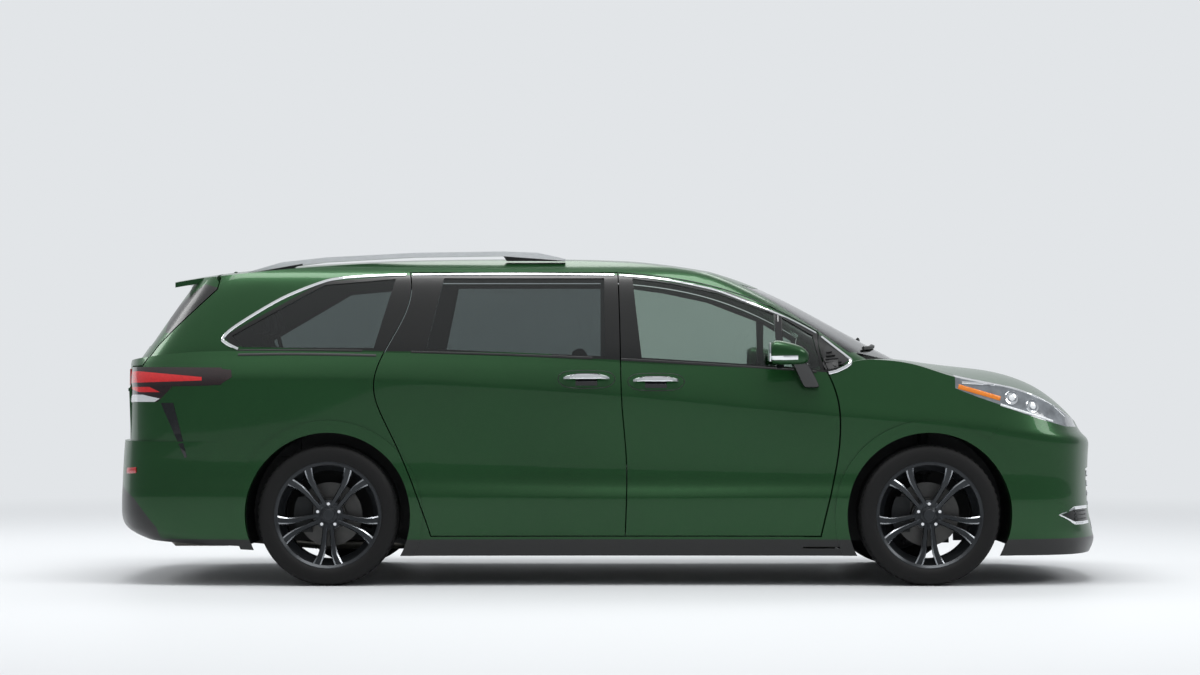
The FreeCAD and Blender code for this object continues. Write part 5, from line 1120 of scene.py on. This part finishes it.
# name, distance from the centre plane, and the row's length, height and share of the full width
CHAIRS = [("front_right", -0.37, FRONT_CHAIR), ("front_left", 0.37, FRONT_CHAIR),
          ("middle_right", -0.37, MIDDLE_CHAIR), ("middle_left", 0.37, MIDDLE_CHAIR),
          ("rear_right", -0.36, REAR_CHAIR), ("rear_middle", 0.0, REAR_CHAIR),
          ("rear_left", 0.36, REAR_CHAIR)]


class MINIVAN_OT_cabin(bpy.types.Operator):
    """Upholstered seats on their bases, and the top of the dashboard."""
    bl_idname = "minivan.cabin"
    bl_label = "Cabin"

    def cushion(self, name, sizes):
        """A padded block blown up like foam under its cover."""
        bm = bmesh.new()
        box(bm, (0, 0, 0), tuple(side - COVER_ROOM for side in sizes), min(sizes) * COVER_ROUNDING, 3)
        start = bpy.data.meshes.new(name)
        bm.to_mesh(start)
        bm.free()
        made = bpy.data.objects.new(name, start)
        bpy.context.scene.collection.objects.link(made)
        cells = made.modifiers.new("cells", "REMESH")
        cells.mode, cells.voxel_size = "VOXEL", VOXEL
        graph = bpy.context.evaluated_depsgraph_get()
        made.data = bpy.data.meshes.new_from_object(made.evaluated_get(graph))
        made.modifiers.clear()
        rest = [vert.co.copy() for vert in made.data.vertices]
        cloth = made.modifiers.new("cover", "CLOTH")
        cloth.settings.use_pressure = True
        cloth.settings.uniform_pressure_force = 4
        cloth.settings.effector_weights.gravity = 0
        for number in range(1, PUFF_FRAMES + 1):
            bpy.context.scene.frame_set(number)
        graph = bpy.context.evaluated_depsgraph_get()
        puffed = bpy.data.meshes.new_from_object(made.evaluated_get(graph))
        made.modifiers.clear()
        for vert, old in zip(puffed.vertices, rest):
            move = vert.co - old
            if move.length > MOST_PUFF:
                vert.co = old + move * (MOST_PUFF / move.length)
        made.data = puffed
        bpy.context.scene.frame_set(1)
        mesh = made.data
        bpy.data.objects.remove(made)
        return mesh

    def padded(self, pattern, name, matrix):
        """A copy of a cushion in its place, under cloth."""
        mesh = pattern.copy()
        mesh.name = name
        mesh.transform(matrix)
        mesh.materials.clear()
        mesh.materials.append(MATERIALS["cloth"])
        mesh.polygons.foreach_set("use_smooth", [True] * len(mesh.polygons))
        made = bpy.data.objects.new(name, mesh)
        bpy.context.scene.collection.objects.link(made)
        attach(made, "body")

    def execute(self, context):
        cushion = self.cushion("cushion_pattern", CUSHION)
        back = self.cushion("back_pattern", BACK)
        rest = self.cushion("rest_pattern", HEAD_REST)
        move = Matrix.Translation
        lean = Matrix.Rotation(-BACK_LEAN, 4, "Y")
        middle = CUSHION[0] / 2
        bases = {"seats": bmesh.new(), "rear_bench": bmesh.new()}
        for name, y, (x, z, wide) in CHAIRS:
            narrow = Matrix.Diagonal((1, wide, 1, 1))
            foot = move((x, y, z + 0.03)) @ lean
            self.padded(cushion, "cushion_" + name, move((x + middle, y, z + CUSHION[2] / 2)) @ narrow)
            self.padded(back, "back_" + name, foot @ move((BACK[0] / 2, 0, BACK[2] / 2)) @ narrow)
            self.padded(rest, "head_rest_" + name, foot @ move((BACK[0] / 2, 0, 0.68)))
            bm = bases["rear_bench" if name.startswith("rear") else "seats"]
            for place, sizes, bevel in (((x + middle, y, z - 0.084), BASE_SIZES, 0.02),
                                        ((x + 0.25, y, z - 0.01), TRAY_SIZES, 0.012)):
                box(bm, place, (sizes[0], sizes[1] * wide, sizes[2]), bevel)
            # hinge covers beside the cushion, and the posts of the head rest
            for side in (-1, 1):
                box(bm, (x + 0.05, y + side * 0.262 * wide, z + 0.03), (0.16, 0.02, 0.10), 0.009)
                post = foot @ move((BACK[0] / 2, side * 0.05, 0.575))
                bmesh.ops.create_cone(bm, cap_ends=True, segments=12, radius1=POST_RADIUS,
                                      radius2=POST_RADIUS, depth=0.09, matrix=post)
            # the shell behind the back
            box(bm, foot @ Vector((-0.004, 0, 0.30)), (0.014, 0.46 * wide, 0.50), 0.006, turn=lean)
        for node, bm in bases.items():
            publish(node + "_bases", bm, "body", ["trim_plastic"], slot="trim_plastic", replaces=[node])
        # dial hood and screen on the dashboard
        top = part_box("dashboard")[1][2]
        bm = bmesh.new()
        box(bm, (0.93, 0.37, top - 0.012), (0.17, 0.36, 0.05), 0.018, 3)
        box(bm, (0.885, 0.0, top - 0.02), (0.012, 0.26, 0.15), 0.005, material=1,
            turn=Matrix.Rotation(math.radians(-14), 4, "Y"))
        publish("dash_top", bm, "body", ["trim_plastic", "gloss_black"], slot="trim_plastic")
        return {"FINISHED"}


class MINIVAN_PT_panel(bpy.types.Panel):
    """Lists what the add-on makes."""
    bl_idname = "MINIVAN_PT_panel"
    bl_label = "Minivan"
    bl_space_type = "VIEW_3D"
    bl_region_type = "UI"
    bl_category = "Minivan"

    def draw(self, context):
        for operator in OPERATORS:
            self.layout.operator(operator.bl_idname)
        for group in (context.scene.minivan_colours, context.scene.minivan_sizes):
            for key in type(group).__annotations__:
                self.layout.prop(group, key)


OPERATORS = [MINIVAN_OT_stage, MINIVAN_OT_finishes, MINIVAN_OT_tyres, MINIVAN_OT_wheels, MINIVAN_OT_trim,
             MINIVAN_OT_front, MINIVAN_OT_rear, MINIVAN_OT_mirrors, MINIVAN_OT_cabin]
CLASSES = [MinivanColours, MinivanSizes, *OPERATORS, MINIVAN_PT_panel]


def register():
    for item in CLASSES:
        bpy.utils.register_class(item)
    bpy.types.Scene.minivan_colours = bpy.props.PointerProperty(type=MinivanColours)
    bpy.types.Scene.minivan_sizes = bpy.props.PointerProperty(type=MinivanSizes)


def unregister():
    del bpy.types.Scene.minivan_sizes
    del bpy.types.Scene.minivan_colours
    for item in reversed(CLASSES):
        bpy.utils.unregister_class(item)


def main():
    """Makes everything."""
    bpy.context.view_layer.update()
    register()
    for operator in OPERATORS:
        group, name = operator.bl_idname.split(".")
        getattr(getattr(bpy.ops, group), name)()
    bpy.context.view_layer.update()


if __name__ == "__main__":
    main()
